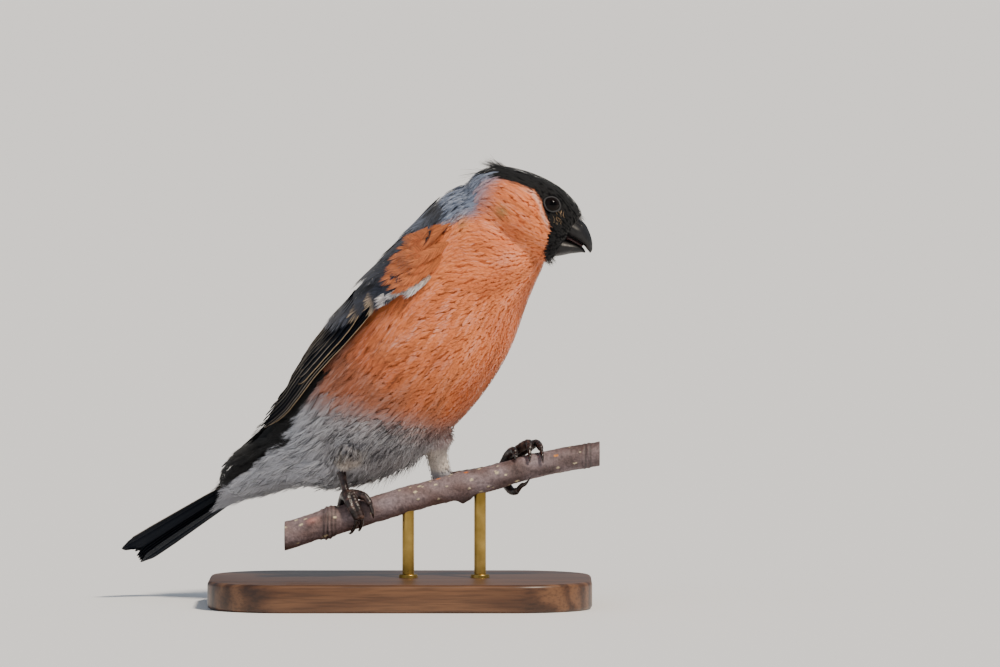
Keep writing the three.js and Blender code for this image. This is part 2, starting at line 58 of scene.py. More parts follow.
def hex_colour(code):
    """Linear RGBA of an sRGB hex value."""
    srgb = np.array([int(code[i:i + 2], 16) for i in (1, 3, 5)]) / 255
    linear = np.where(srgb <= 0.04045, srgb / 12.92, ((srgb + 0.055) / 1.055) ** 2.4)
    return (*linear.tolist(), 1.0)


def rgb(code):
    """Linear RGB of an sRGB hex value, ready for sums."""
    return np.array(hex_colour(code)[:3])


def add_node(tree, kind, inputs=None, **settings):
    """A new node with its settings, and each input set to a value or linked to a socket."""
    made = tree.nodes.new("ShaderNode" + kind)
    for name, value in settings.items():
        setattr(made, name, value)
    for name, value in (inputs or {}).items():
        if isinstance(value, bpy.types.NodeSocket):
            tree.links.new(value, made.inputs[name])
        else:
            made.inputs[name].default_value = value
    return made


def new_material(name, **look):
    """An empty material with its shader. look gives the shader's plain values."""
    made = bpy.data.materials.new(name)
    made.use_nodes = True
    shader = made.node_tree.nodes["Principled BSDF"]
    for socket, value in look.items():
        shader.inputs[socket.replace("_", " ")].default_value = value
    return made, made.node_tree, shader


def ramp(tree, factor, *stops):
    """A colour ramp with a hex colour at each place."""
    made = add_node(tree, "ValToRGB", {"Fac": factor})
    elements = made.color_ramp.elements
    while len(elements) < len(stops):
        elements.new(0.5)
    for element, (place, code) in zip(elements, stops):
        element.position = place
        element.color = hex_colour(code)
    return made.outputs["Color"]


def noise_of(tree, size, detail, stretch=None, space="Object", **more):
    """Noise in lumps size millimetres across, or in the space "Generated" in lumps of so
    many thousandths of the piece."""
    place = add_node(tree, "TexCoord").outputs[space]
    if stretch:
        place = add_node(tree, "Mapping", {"Vector": place, "Scale": stretch}).outputs["Vector"]
    return add_node(tree, "TexNoise", {
        "Vector": place, "Scale": 1 / (size * MM), "Detail": detail, **more}).outputs["Fac"]


def mapped(tree, value, low, high, start=0.0, end=1.0):
    """The value, moved from the range start to end into the range low to high."""
    return add_node(tree, "MapRange", {"Value": value, "From Min": start, "From Max": end,
                                       "To Min": low, "To Max": high}).outputs["Result"]


def painted(tree, layer="plumage"):
    """The colours that are stored on the piece's own vertices."""
    return add_node(tree, "VertexColor", layer_name=layer).outputs["Color"]


def colour_by(shader, colour, light=None):
    """Links the shader's colour, made lighter or darker by a value where one is given."""
    tree = shader.id_data
    if light is not None:
        colour = add_node(tree, "HueSaturation", {
            "Color": colour, "Value": light}).outputs["Color"]
    tree.links.new(colour, shader.inputs["Base Color"])


def bump_by(shader, height, distance, strength=1.0):
    """Raises fine relief by distance millimetres where height is 1."""
    bump = add_node(shader.id_data, "Bump", {
        "Height": height, "Distance": distance * MM, "Strength": strength})
    shader.id_data.links.new(bump.outputs["Normal"], shader.inputs["Normal"])


def wear_by(shader, value, low, high):
    """Lets the roughness change from low to high with a value."""
    shader.id_data.links.new(mapped(shader.id_data, value, low, high),
                             shader.inputs["Roughness"])


def dress(piece, material, slot, *nodes):
    """Gives a piece its material and its body, and hides the CAD nodes it replaces. slot is not
    used.
    """
    piece.data.materials.clear()
    piece.data.materials.append(material)
    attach(piece, "root")
    if nodes:
        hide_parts(*nodes)
    print(piece.name, len(piece.data.polygons), "faces")


print("helpers ready")

# %% [markdown]
# The camera comes first, because every finish is judged through it. The photograph was taken
# with a long lens from about the bird's own height, so shapes keep their true proportions.
# The camera looks down by two degrees, which keeps it above the floor and fills the
# background with the floor alone.

# %% Camera
PHOTO_WIDTH = 250 * MM  # what the photograph's frame spans at the bird
VIEW_CENTRE = Vector((25, -5, 68.4)) * MM
CAMERA_DISTANCE = 2.6
CAMERA_ANGLE = math.radians(2)
SENSOR = 36

camera_data = bpy.data.cameras.new("camera")
camera_data.sensor_width = SENSOR
camera_data.lens = SENSOR * CAMERA_DISTANCE / PHOTO_WIDTH
camera_data.clip_end = 400
camera = bpy.data.objects.new("camera", camera_data)
bpy.context.scene.collection.objects.link(camera)
toward_viewer = Vector((0, -math.cos(CAMERA_ANGLE), math.sin(CAMERA_ANGLE)))
camera.location = VIEW_CENTRE + CAMERA_DISTANCE * toward_viewer
camera.rotation_euler = (math.pi / 2 - CAMERA_ANGLE, 0, 0)
bpy.context.scene.camera = camera
print("lens", round(camera_data.lens), "mm")

# %% [markdown]
# A studio for a small object needs little: a wide pale floor, one large soft lamp high on the
# viewer's right where the sun stood, and a weak one that opens the shadows. Both are suns,
# whose light is as strong at the far end of the floor as at the bird.

# %% Floor and lights
floor_paint, tree, shader = new_material("matt paint on the floor", Roughness=0.9)
tone = add_node(tree, "TexNoise", {"Scale": 1.5, "Detail": 2.0})
colour_by(shader, ramp(tree, tone.outputs["Fac"], (0.3, "#eceef0"), (0.7, "#f1f2f4")))

bpy.ops.mesh.primitive_plane_add(size=240)
floor = bpy.context.object
floor.name = "floor"
floor.data.materials.append(floor_paint)

world = bpy.data.worlds.new("studio")
world.use_nodes = True
world.node_tree.nodes["Background"].inputs["Color"].default_value = hex_colour("#dfe7f2")
world.node_tree.nodes["Background"].inputs["Strength"].default_value = 0.42
bpy.context.scene.world = world


def sun(name, azimuth, elevation, softness, brightness, code):
    """A distant lamp that faces the bird from the given side, in degrees. It lights the
    floor evenly. brightness is that of a white card that faces it."""
    data = bpy.data.lights.new(name, "SUN")
    data.angle = math.radians(softness)
    data.energy = brightness * math.pi
    data.color = hex_colour(code)[:3]
    made = bpy.data.objects.new(name, data)
    made.rotation_euler = (math.radians(90 - elevation), 0, math.radians(azimuth))
    bpy.context.scene.collection.objects.link(made)


sun("key_lamp", 42, 50, 9, 1.4, "#fff1de")
sun("fill_lamp", -50, 25, 60, 0.08, "#e8f0ff")
print("studio ready")

# %% [markdown]
# Every feather has to know where on the body it stands. A place on the torso is given by
# two numbers: how far along the spine it is, from the tail (0) to the head (1), and its
# angle round the spine from the middle of the back, positive on the bird's right. The
# stations below are the CAD's own, and the same smooth curve is drawn through them.

# %% The spine
TORSO_YAW = math.radians(28)
SPINE_Y = 3.2
SPINE = np.array([  # x, z, half depth, half width
    (-52, 23.4, 2.2, 6), (-42, 29.9, 3.9, 7.6), (-34.5, 34.6, 6.9, 9.2),
    (-26.8, 39.2, 10.2, 11.0), (-17.4, 43.9, 15.4, 14.2), (-8.4, 50.7, 18.8, 17.8),
    (1.5, 60.5, 20.0, 19.8), (9.6, 71.1, 19.6, 20.5), (17.2, 83.7, 17.5, 18.2),
    (22.5, 93.4, 16.7, 14.8), (26.6, 99.4, 13.9, 11.8),
])


def cubic(b, c, slope_b, slope_c, t):
    """Leads from b (t is 0) to c (t is 1) with the given slopes at both."""
    return (b + slope_b * t + (3 * (c - b) - 2 * slope_b - slope_c) * t ** 2
            + (slope_b + slope_c - 2 * (c - b)) * t ** 3)


def smooth_path(points, place):
    """Points on a smooth curve through points. place counts them: 1.5 is midway from 1 to 2."""
    points = np.asarray(points, float)
    padded = np.vstack([2 * points[0] - points[1], points, 2 * points[-1] - points[-2]])
    i = np.clip(place.astype(int), 0, len(points) - 2)
    t = (place - i)[:, None]
    a, b, c, d = (padded[i + k] for k in range(4))
    ab, bc, cd = (np.linalg.norm(q - p, axis=1)[:, None] ** 0.5
                  for p, q in ((a, b), (b, c), (c, d)))
    slope_b = ((b - a) / ab - (c - a) / (ab + bc) + (c - b) / bc) * bc
    slope_c = ((c - b) / bc - (d - b) / (bc + cd) + (d - c) / cd) * bc
    return cubic(b, c, slope_b, slope_c, t)


def smooth_value(values, place):
    """Smooth numbers between evenly counted stations."""
    padded = np.concatenate([values[:1], values, values[-1:]])
    i = np.clip(place.astype(int), 0, len(values) - 2)
    a, b, c, d = (padded[i + k] for k in range(4))
    return cubic(b, c, (c - a) / 2, (d - b) / 2, place - i)


def step(low, high, value):
    """0 below low, 1 above high and smooth between."""
    t = np.clip((value - low) / (high - low), 0, 1)
    return t * t * (3 - 2 * t)


def unit(vectors):
    return vectors / np.maximum(np.linalg.norm(vectors, axis=-1, keepdims=True), 1e-9)


def square_to(vectors, axis):
    """The vectors' directions once what points along the axis is taken out of them."""
    return unit(vectors - (vectors * axis).sum(1, keepdims=True) * axis)


SPINE_RUNGS = 1001  # places at which the spine is tabulated
place = np.linspace(0, len(SPINE) - 1, SPINE_RUNGS)
spine_points = np.column_stack(
    [SPINE[:, 0], SPINE_Y - math.tan(TORSO_YAW) * SPINE[:, 0], SPINE[:, 1]])
centre_line = smooth_path(spine_points, place)
travelled = np.concatenate([[0], np.linalg.norm(np.diff(centre_line, axis=0), axis=1).cumsum()])
SPINE_LENGTH = travelled[-1]
BIRD_RIGHT = np.array([-math.sin(TORSO_YAW), -math.cos(TORSO_YAW), 0])
along_line = unit(np.gradient(centre_line, axis=0))
spine_table = np.column_stack([
    centre_line, along_line, unit(np.cross(BIRD_RIGHT, along_line)),
    smooth_value(SPINE[:, 2], place), smooth_value(SPINE[:, 3], place)])
spine_u = travelled / SPINE_LENGTH
print("spine", round(SPINE_LENGTH, 1), "mm")


def body_frame(u):
    """Centre, direction to the head, direction to the back, half depth and half width."""
    u = np.clip(u, 0, 1)
    found = np.stack([np.interp(u, spine_u, column) for column in spine_table.T], -1)
    return found[..., :3], found[..., 3:6], found[..., 6:9], found[..., 9], found[..., 10]


def body_point(u, degrees, height=0.0):
    """A point over the torso, height millimetres above its surface."""
    centre, _, up, depth, width = body_frame(u)
    angle = np.radians(degrees)
    rise = ((depth + height) * np.cos(angle))[..., None] * up
    return centre + rise + ((width + height) * np.sin(angle))[..., None] * BIRD_RIGHT


def body_place(points):
    """How far along the spine points lie, and their angle in degrees from the mid-back."""
    found = np.empty(len(points), int)
    rungs = np.arange(0, SPINE_RUNGS, 4)
    at_once = 20000  # points in one batch, so that the table of distances stays small
    for first in range(0, len(points), at_once):
        part = points[first:first + at_once]
        apart = ((part[:, None] - centre_line[rungs]) ** 2).sum(2)
        found[first:first + at_once] = rungs[apart.argmin(1)]
    centre, _, up, depth, width = body_frame(spine_u[found])
    out = points - centre
    sideways = (out @ BIRD_RIGHT) / width
    upwards = (out * up).sum(1) / depth
    return spine_u[found], np.degrees(np.arctan2(sideways, upwards))


# %% [markdown]
# The head has axes of its own: x runs out along the bill, y to the bird's left and z up
# through the crown. It is turned a little to the viewer and bent down.

# %% The head's axes and stations
HEAD_CENTRE = np.array([30.75, -11.9, 99.0])
HEAD_YAW = math.radians(8)
HEAD_PITCH = math.radians(33)
HEAD = np.array([  # x, top, bottom, half width
    (-15, 2.4, -2.6, 3.0), (-13, 4.9, -5.2, 6.2), (-9.5, 7.6, -8.5, 8.8),
    (-6, 8.9, -10.2, 10.4), (-2, 9.7, -11.0, 11.2), (2, 10.15, -11.1, 11.2),
    (5.5, 10.1, -10.3, 10.3), (8.5, 9.4, -9.0, 8.9), (11, 8.3, -7.3, 7.2),
    (13, 7.0, -5.4, 5.4),
])


def turned(axis, angle):
    """The matrix of a turn about one axis."""
    c, s = math.cos(angle), math.sin(angle)
    return np.array({"x": [[1, 0, 0], [0, c, -s], [0, s, c]],
                     "y": [[c, 0, s], [0, 1, 0], [-s, 0, c]],
                     "z": [[c, -s, 0], [s, c, 0], [0, 0, 1]]}[axis])


HEAD_TURN = turned("z", -HEAD_YAW) @ turned("y", HEAD_PITCH)


def head_point(places):
    return np.asarray(places, float) @ HEAD_TURN.T + HEAD_CENTRE


def head_place(points):
    return (points - HEAD_CENTRE) @ HEAD_TURN


def head_section(stations, fraction, degrees, height=0.0):
    """A point on a form drawn through head stations, from its rear end (0) to its front (1)."""
    place = fraction * (len(stations) - 1)
    x, top, bottom, width = (smooth_value(column, place) for column in stations.T)
    angle = np.radians(degrees)
    return np.stack([
        x, (width + height) * np.sin(angle),
        (top + bottom) / 2 + ((top - bottom) / 2 + height) * np.cos(angle)], -1)


print("head centre", HEAD_CENTRE)

# %% [markdown]
# Under its feathers a bird is much thinner than it looks. The skin here is one closed
# surface without a seam: balls are drawn out into the torso, the head and the two thighs,
# joined, remeshed into a single shell and smoothed where they meet. It lies inside the CAD's
# outline by the depth of the coat, so that the feathers bring the bird back to its true size.

# %% Skin
COAT_DEPTH = 1.5  # how far feathers lift the outline off the skin, on the body
FACE_DEPTH = 0.6  # on the head
BROW_DEPTH = 0.3  # and round the bill
SKIN_GRAIN = 0.6  # edge length of the remeshed skin
THIGHS = {  # centre line and radii, from the body down to the ankle
    "right": ([(-11.8, -5.5, 40.5), (-13.2, -3.4, 38.4), (-14.7, 0.4, 34.4)], (3.4, 2.3, 1.6)),
    "left": ([(9.2, 3.0, 43.5), (9.2, 5.4, 37.6), (10.6, 7.4, 31.2)], (4.8, 3.1, 3.1)),
}


def deselect_all():
    if bpy.context.object and bpy.context.object.mode != "OBJECT":
        bpy.ops.object.mode_set(mode="OBJECT")
    bpy.ops.object.select_all(action="DESELECT")


def read_points(piece):
    """The piece's vertices, in millimetres."""
    flat = np.empty(len(piece.data.vertices) * 3)
    piece.data.vertices.foreach_get("co", flat)
    return flat.reshape(-1, 3) / MM


def write_points(piece, points):
    piece.data.vertices.foreach_set("co", (np.asarray(points) * MM).ravel())
    piece.data.update()


def apply_modifier(piece, kind, **settings):
    """Adds a modifier, sets it and applies it."""
    bpy.context.view_layer.objects.active = piece
    made = piece.modifiers.new(kind.lower(), kind)
    for name, value in settings.items():
        setattr(made, name, value)
    bpy.ops.object.modifier_apply(modifier=made.name)


def face_outwards():
    """Turns every face of the active piece outwards and shades it smooth."""
    bpy.ops.object.mode_set(mode="EDIT")
    bpy.ops.mesh.select_all(action="SELECT")
    bpy.ops.mesh.normals_make_consistent(inside=False)
    bpy.ops.object.mode_set(mode="OBJECT")
    bpy.ops.object.shade_smooth()


def drawn_ball(name, segments, rings, place):
    """A ball whose latitude (0 to 1) and longitude (degrees) are laid out by place."""
    deselect_all()
    bpy.ops.mesh.primitive_uv_sphere_add(segments=segments, ring_count=rings, radius=MM)
    made = bpy.context.object
    made.name = name
    ball = read_points(made)
    fraction = np.arccos(np.clip(ball[:, 2], -1, 1)) / math.pi
    write_points(made, place(fraction, np.degrees(np.arctan2(ball[:, 1], ball[:, 0]))))
    face_outwards()
    return made


def joined(name, pieces):
    """The pieces as one object."""
    deselect_all()
    for piece in pieces:
        piece.select_set(True)
    bpy.context.view_layer.objects.active = pieces[0]
    bpy.ops.object.join()
    pieces[0].name = name
    pieces[0].data.name = name
    return pieces[0]


def round_end(fraction, share=0.06, front=None):
    """0 at both ends of a drawn ball and 1 between, so that its ends close roundly."""
    near = np.minimum(fraction, (1 - fraction) * share / (front or share))
    return np.sqrt(1 - (1 - np.clip(near / share, 0, 1)) ** 2)


def torso_skin(fraction, degrees):
    u = 0.095 + 0.895 * fraction
    centre = body_frame(u)[0]
    side = np.abs(degrees)
    depth = np.interp(u, [0.09, 0.2, 0.9, 1], [0.8, COAT_DEPTH, COAT_DEPTH, FACE_DEPTH])
    nape = step(0.85, 0.93, u) * step(110, 60, side)
    belly = step(0.09, 0.14, u) * step(0.58, 0.46, u) * step(115, 150, side)
    breast = step(0.46, 0.58, u) * step(0.88, 0.76, u) * step(140, 170, side)
    depth = depth + 1.0 * nape
    depth = depth - 1.4 * belly
    depth = depth - 0.9 * breast
    rim = body_point(u, degrees, -depth)
    return centre + (rim - centre) * round_end(fraction, front=0.02)[:, None]


def head_skin(fraction, degrees):
    depth = np.interp(fraction, [0, 0.4, 0.75, 0.9, 1], [
        0.9, FACE_DEPTH, BROW_DEPTH, -0.1, 0.0])
    places = head_section(HEAD, fraction, degrees, -depth)
    middle = head_section(HEAD, fraction, degrees * 0)
    middle[:, 2] = (np.interp(places[:, 0], HEAD[:, 0], HEAD[:, 1] + HEAD[:, 2])) / 2
    return head_point(middle + (places - middle) * round_end(fraction, 0.03)[:, None])


def along_curve(path, fraction, reach=0.03):
    """Points on a curve and its direction there, from its start (0) to its end (1)."""
    last = len(path) - 1
    place = fraction * last
    ahead = smooth_path(path, np.minimum(place + reach, last))
    behind = smooth_path(path, np.maximum(place - reach, 0))
    return smooth_path(path, place), unit(ahead - behind)


def thigh_skin(path, radii):
    """The place of each point round a bent thigh."""
    def place(fraction, degrees):
        centre, along = along_curve(path, fraction, 0.02)
        side = unit(np.cross(along, np.array([0.31, 0.95, 0.05])))
        radius = np.interp(fraction, np.linspace(0, 1, len(radii)), radii) - FACE_DEPTH
        angle = np.radians(degrees)
        ring = np.cos(angle)[:, None] * side + np.sin(angle)[:, None] * np.cross(along, side)
        return centre + (radius * round_end(fraction))[:, None] * ring
    return place


skin = joined("skin", [
    drawn_ball("torso", 72, 110, torso_skin),
    drawn_ball("head_form", 56, 60, head_skin),
    *(drawn_ball(f"thigh_{side}", 24, 30, thigh_skin(*THIGHS[side])) for side in THIGHS)])
apply_modifier(skin, "REMESH", mode="VOXEL", voxel_size=SKIN_GRAIN * MM)
apply_modifier(skin, "SMOOTH", factor=0.6, iterations=9)

at_neck = head_place(read_points(skin))[:, 0]
near_neck = step(-22, -15, at_neck) * step(0, -7, at_neck) * (
    body_place(read_points(skin))[0] > 0.8)
neck_group = skin.vertex_groups.new(name="neck")
for i in np.flatnonzero(near_neck > 0.02).tolist():
    neck_group.add([i], float(near_neck[i]), "REPLACE")
apply_modifier(skin, "SMOOTH", factor=0.8, iterations=80, vertex_group="neck")
skin.vertex_groups.clear()
bpy.ops.object.shade_smooth()
print("skin", len(skin.data.polygons), "faces")

# %% [markdown]
# The markings are a rule, not a picture. Black cap and chin, ash-grey mantle, orange cheeks,
# breast and flanks, pale belly and vent, white rump: each meets the next along a line that
# is written down in the body's own coordinates. Skin and coat both ask the same rule, so a
# gap between two feathers never shows a wrong colour.

# %% Markings
CAP_EDGE = np.array([  # head x, head z: black above this line
    (-20, 20), (-19, -3.6), (-16.8, -1.4), (-12.8, 1.6), (-8.6, 4.3), (-4.1, 5.9), (0, 6.8),
    (2.9, 5.6), (5.2, 3.7), (7.2, 2.5), (8.6, 1.3), (8.9, 0.2), (9.8, -2.7), (10.7, -5.8),
    (11.6, -7.4), (12.2, -30)])
MANTLE_EDGE = np.array([  # spine fraction, degrees from mid-back: grey inside this line
    (0.70, 50), (0.767, 61), (0.787, 57), (0.82, 54), (0.855, 49), (0.9, 62), (0.932, 74),
    (0.965, 76), (0.985, 74), (1, 64)])
RUMP_EDGE = np.array([  # spine fraction, degrees from mid-back: black above this line
    (0.1, 104), (0.14, 103), (0.185, 100), (0.23, 95), (0.273, 88), (0.30, 80), (0.33, 74),
    (0.38, 69), (0.47, 66), (0.5, 40), (0.51, 0)])
VENT_EDGE = np.array([  # degrees from mid-back, spine fraction: pale behind this line
    (40, 0.37), (60, 0.39), (83, 0.435), (104, 0.485), (116, 0.51), (129, 0.53),
    (142, 0.545), (154, 0.555), (180, 0.565)])
SMUDGES = [((24.8, -21.8, 99.8), 1.5), ((14.0, -20.0, 96.2), 1.9)]
PLUMAGE = {name: rgb(code) for name, code in {
    "cap": "#050609",
    "orange": "#ef8850",
    "deep orange": "#cf6a3c",
    # the lower flank's duller orange, darkened further as painted shade
    "dusk": "#a06248",
    "grey": "#8795b0",
    "dark grey": "#4a4f5c",
    "belly": "#bab9be",
    "shaded belly": "#55535a",
    "white": "#bfc2cb",
    "thigh": "#d6ccc2",
    "olive": "#8d7c4c",
    "rim": "#e8dcd2",
    "down": "#6a6461",
}.items()}


def blended(first, second, share):
    return first + (second - first) * share[:, None]


def clouds(points, size, seed=0.0):
    """Soft noise from -1 to 1, in patches size millimetres across."""
    shift = Vector((seed, seed * 1.7, -seed))
    return np.array([noise.noise(Vector(p) / size + shift) for p in points]) * 1.6


def from_thigh(points, path):
    """How far points lie from the middle of a thigh."""
    return np.linalg.norm(points - np.mean(path, axis=0), axis=1)


def plumage(points):
    """The colour of the coat at each point."""
    u, degrees = body_place(points)
    side = np.abs(degrees)
    x, _, z = head_place(points).T
    patches = clouds(points, 7.0)
    low = step(0.72, 0.42, u) * step(150, 90, side)
    colour = blended(PLUMAGE["orange"][None], PLUMAGE["deep orange"], np.clip(
        0.25 + 0.35 * patches + 0.5 * low, 0, 1))
    # darker, duller towards the tail: partly the lower flank's own tone, partly painted shade
    colour = blended(colour, PLUMAGE["dusk"], 0.85 * step(0.68, 0.49, u + 0.06 * patches))
    edge = np.interp(side, *VENT_EDGE.T) + 0.012 * patches
    shaded = np.exp(-((u - 0.433) / 0.04) ** 2 - ((side - 132) / 20) ** 2)
    pale = blended(PLUMAGE["belly"][None], PLUMAGE["shaded belly"], np.clip(
        0.1 + shaded + 0.5 * patches, 0, 0.85))
    pale = blended(pale, PLUMAGE["white"], step(0.40, 0.3, u))
    colour = blended(colour, pale, step(edge + 0.05, edge - 0.06, u))
    for path, _ in THIGHS.values():
        below = step(path[0][2] - 2, path[0][2] - 6, points[:, 2])
        near = step(5.2, 3.4, from_thigh(points, path))
        colour = blended(colour, PLUMAGE["thigh"], near * below)
    back = np.interp(u, *MANTLE_EDGE.T) + (4 + 5 * step(0.9, 0.94, u)) * patches
    grey = blended(PLUMAGE["grey"][None], PLUMAGE["dark grey"], np.clip(
        0.3 + 0.5 * patches + step(0.86, 0.8, u), 0, 1) * 0.6)
    wide = 4 + 8 * step(0.9, 0.95, u)
    on_back = step(back + wide, back - wide, side) * step(0.40, 0.44, u)
    on_nape = step(-5.5, -13.5, x + 2 * patches) * step(-9, -4, z)
    colour = blended(colour, grey, np.maximum(on_back, 0.85 * on_nape))
    rump = np.interp(u, *RUMP_EDGE.T) + 2 * patches
    black = step(rump + 2.5, rump - 2.5, side)
    colour = blended(colour, PLUMAGE["cap"], black)
    colour = blended(colour, PLUMAGE["white"], step(34, 26, side) * step(0.42, 0.39, u)
                     * step(0.29, 0.31, u))
    for centre, radius in SMUDGES:
        apart = np.linalg.norm(points - np.array(centre), axis=1)
        colour = blended(colour, PLUMAGE["olive"], 0.7 * np.exp(-(apart / radius) ** 2))
    edge = np.interp(x, *CAP_EDGE.T) + 0.25 * patches
    near = step(-10, -8.5, z) * step(-20, -19, x)
    rim = np.exp(-((z - edge + 0.65) / 0.45) ** 2) * step(-5, 0, x) * step(9, 7.5, x)
    colour = blended(colour, PLUMAGE["rim"], 0.45 * rim * near)
    return blended(colour, PLUMAGE["cap"], step(-0.35, 0.35, z - edge) * near)


def paint(piece, colours, name="plumage"):
    """Stores one colour per vertex for the material to read."""
    layer = piece.data.color_attributes.new(name, "FLOAT_COLOR", "POINT")
    layer.data.foreach_set("color", np.column_stack(
        [colours, np.ones(len(colours))]).astype(np.float32).ravel())


paint(skin, plumage(read_points(skin)))
print("markings on", len(skin.data.vertices), "points of the skin")

# %% [markdown]
# Feather keratin is dull and slightly silky: light goes a little way into the loose barbs and
# comes back soft. The colour comes from the markings, and a fine noise at the width of a barb
# breaks it up. A little sheen gives the pale rim that a soft coat has against the light.

# %% Feather keratin for skin and coat


def coat_material(name, roughness, sheen):
    """Keratin in the markings' colours, broken up at the width of a barb, 0.15 mm."""
    made, tree, shader = new_material(name, Roughness=roughness, Sheen_Weight=sheen,
                                      Sheen_Roughness=0.5, Specular_IOR_Level=0.25)
    colour_by(shader, painted(tree), mapped(tree, noise_of(tree, 0.15, 2.0), 0.92, 1.08, 0.3, 0.7))
    return made


skin_keratin = coat_material("down and skin under the coat", 0.9, 0.0)
loose_keratin = coat_material("loose feather keratin", 0.78, 0.12)
dress(skin, skin_keratin, "orange_plumage",
      "rump", "belly", "breast", "neck", "head", "leg_left_thigh", "leg_right_thigh")

# %% [markdown]
# A contour feather lies along the body from head to tail. To lay one down, its root is taken
# on the skin and its shaft is walked over the skin in short steps, each in the direction of
# the lie there: backwards along the spine, or back from the bill on the head, bending
# smoothly where the two meet. Roots keep their distance from one another, as the real
# feathers do in their tracts, and stand closest on the face.

# %% The lie of the coat
skin_mesh = skin.data
skin_points = read_points(skin)
skin_tree = BVHTree.FromPolygons(
    skin_points.tolist(), [tuple(p.vertices) for p in skin_mesh.polygons])
EYE = np.array([5.75, 7.15, 5.85])  # the right eye mirrors it


def soft_normals(piece, rounds=6):
    """A way out of the skin for each of its faces, evened over its neighbours."""
    corners = np.array([p.vertices[:] for p in piece.data.polygons])
    flat = np.empty(len(corners) * 3)
    piece.data.polygons.foreach_get("normal", flat)
    normals = flat.reshape(-1, 3)
    for _ in range(rounds):
        at_points = np.zeros((len(piece.data.vertices), 3))
        for k in range(4):
            np.add.at(at_points, corners[:, k], normals)
        normals = unit(at_points[corners].sum(1))
    return normals


skin_normals = soft_normals(skin)


def on_skin(points):
    """The nearest point of the skin to each point, and the way out of the skin there."""
    found = [skin_tree.find_nearest(p) for p in points.tolist()]
    return np.array([f[0] for f in found]), skin_normals[[f[2] for f in found]]


def lie(points, normals):
    """The direction in which a feather lies at each point of the skin."""
    u, _ = body_place(points)
    backwards = -body_frame(u)[1]
    head = head_place(points)
    off_bill = head - np.array([17.0, 0, 0.5])
    off_bill[:, 0] -= 4
    nearest_eye = np.stack([EYE[0] + 0 * head[:, 0], EYE[1] * np.sign(head[:, 1]),
                            EYE[2] + 0 * head[:, 0]], 1)
    from_eye = head - nearest_eye
    from_eye[:, 0] += 1.5
    round_eye = np.exp(-(np.linalg.norm(from_eye, axis=1) / 3.2) ** 2)
    way = blended(unit(off_bill), unit(from_eye), 0.5 * round_eye) @ HEAD_TURN.T
    way = blended(way, backwards, step(-4, -13, head[:, 0]))
    for path, _ in THIGHS.values():
        top, foot = np.array(path[0]), np.array(path[-1])
        apart = np.linalg.norm(points - (top + foot) / 2, axis=1)
        below = step(44.5, 40.5, points[:, 2]) * step(9, 6, apart)
        way = blended(way, np.broadcast_to(unit(foot - top), way.shape), below)
    return square_to(way, normals)


SHAFT_STEPS = 6
SHAFT_SWAY = 0.16  # radians by which a feather lies off the common direction


def comb(roots, lengths):
    """Walks each shaft over the skin. Gives its points and the way out at each of them."""
    places, outs = [], []
    place, out = on_skin(roots)
    turn = SHAFT_SWAY * clouds(roots, 2.6, 3.0)
    for _ in range(SHAFT_STEPS + 1):
        places.append(place)
        outs.append(out)
        way = lie(place, out)
        way = way * np.cos(turn)[:, None] + np.cross(out, way) * np.sin(turn)[:, None]
        place, out = on_skin(place + way * (lengths / SHAFT_STEPS)[:, None])
        out = unit(out + outs[-1])
    return np.stack(places, 1), np.stack(outs, 1)


def scattered(spacing_of, cell, tries, rng):
    """Points all over the skin that keep their own spacing apart, out of so many tries.
    cell is the size of the boxes in which neighbours are looked for."""
    skin_mesh.calc_loop_triangles()
    corners = np.array([t.vertices for t in skin_mesh.loop_triangles])
    a, b, c = (skin_points[corners[:, k]] for k in range(3))
    size = np.linalg.norm(np.cross(b - a, c - a), axis=1)
    pick = rng.choice(len(size), tries, p=size / size.sum())
    r1, r2 = rng.random(tries), rng.random(tries)
    r1, r2 = np.where(r1 + r2 > 1, 1 - r1, r1), np.where(r1 + r2 > 1, 1 - r2, r2)
    points = a[pick] + r1[:, None] * (b - a)[pick] + r2[:, None] * (c - a)[pick]
    spacing = spacing_of(points)
    points, spacing = points[spacing > 0], spacing[spacing > 0]
    kept = []
    grid = {}
    cells = np.floor(points / cell).astype(int).tolist()
    reach = [(i, j, k) for i in (-1, 0, 1) for j in (-1, 0, 1) for k in (-1, 0, 1)]
    for n, ((p, q, r), (x, y, z), room) in enumerate(
            zip(cells, points.tolist(), (spacing ** 2).tolist())):
        crowd = [m for i, j, k in reach for m in grid.get((p + i, q + j, r + k), ())]
        if all((x - m[0]) ** 2 + (y - m[1]) ** 2 + (z - m[2]) ** 2 > room for m in crowd):
            grid.setdefault((p, q, r), []).append((x, y, z))
            kept.append(n)
    return points[kept]


print("the lie is ready")

# %% [markdown]
# A feather is a shaft with barbs on both sides. Hooked barbs make the firm sheet of a wing
# feather. On the body they hang loose, so each contour feather is drawn barb by barb: a thin
# ribbon leaves the shaft, bends towards the tip and tapers to nothing. All ribbons of one
# coat piece are made at once as arrays, and joined into one mesh.

# %% Barbs
RIBBON_STEPS = np.array([0.0, 0.38, 0.74, 1.0])  # places along a barb
RIBBON_TAPER = np.array([0.75, 1.0, 0.7, 0.0])
FIRST_BARB, LAST_BARB = 0.03, 0.75  # where on the shaft barbs leave it
SOFTNESS = 0.82  # how far light sees the body's shape, and not each ribbon's own
BODY_CURVE = 36  # twice the radius, in millimetres, by which the body curves away
PATCH = 0.003  # a tuft's share of the unwrapped skin


def along_path(path, t):
    """Points of many paths, each at its own places t from 0 to 1."""
    count = path.shape[1] - 1
    place = np.clip(t, 0, 1) * count
    i = np.minimum(place.astype(int), count - 1)
    part = (place - i)[..., None]
    row = np.arange(len(path)).reshape((-1,) + (1,) * (t.ndim - 1))
    return path[row, i] * (1 - part) + path[row, i + 1] * part


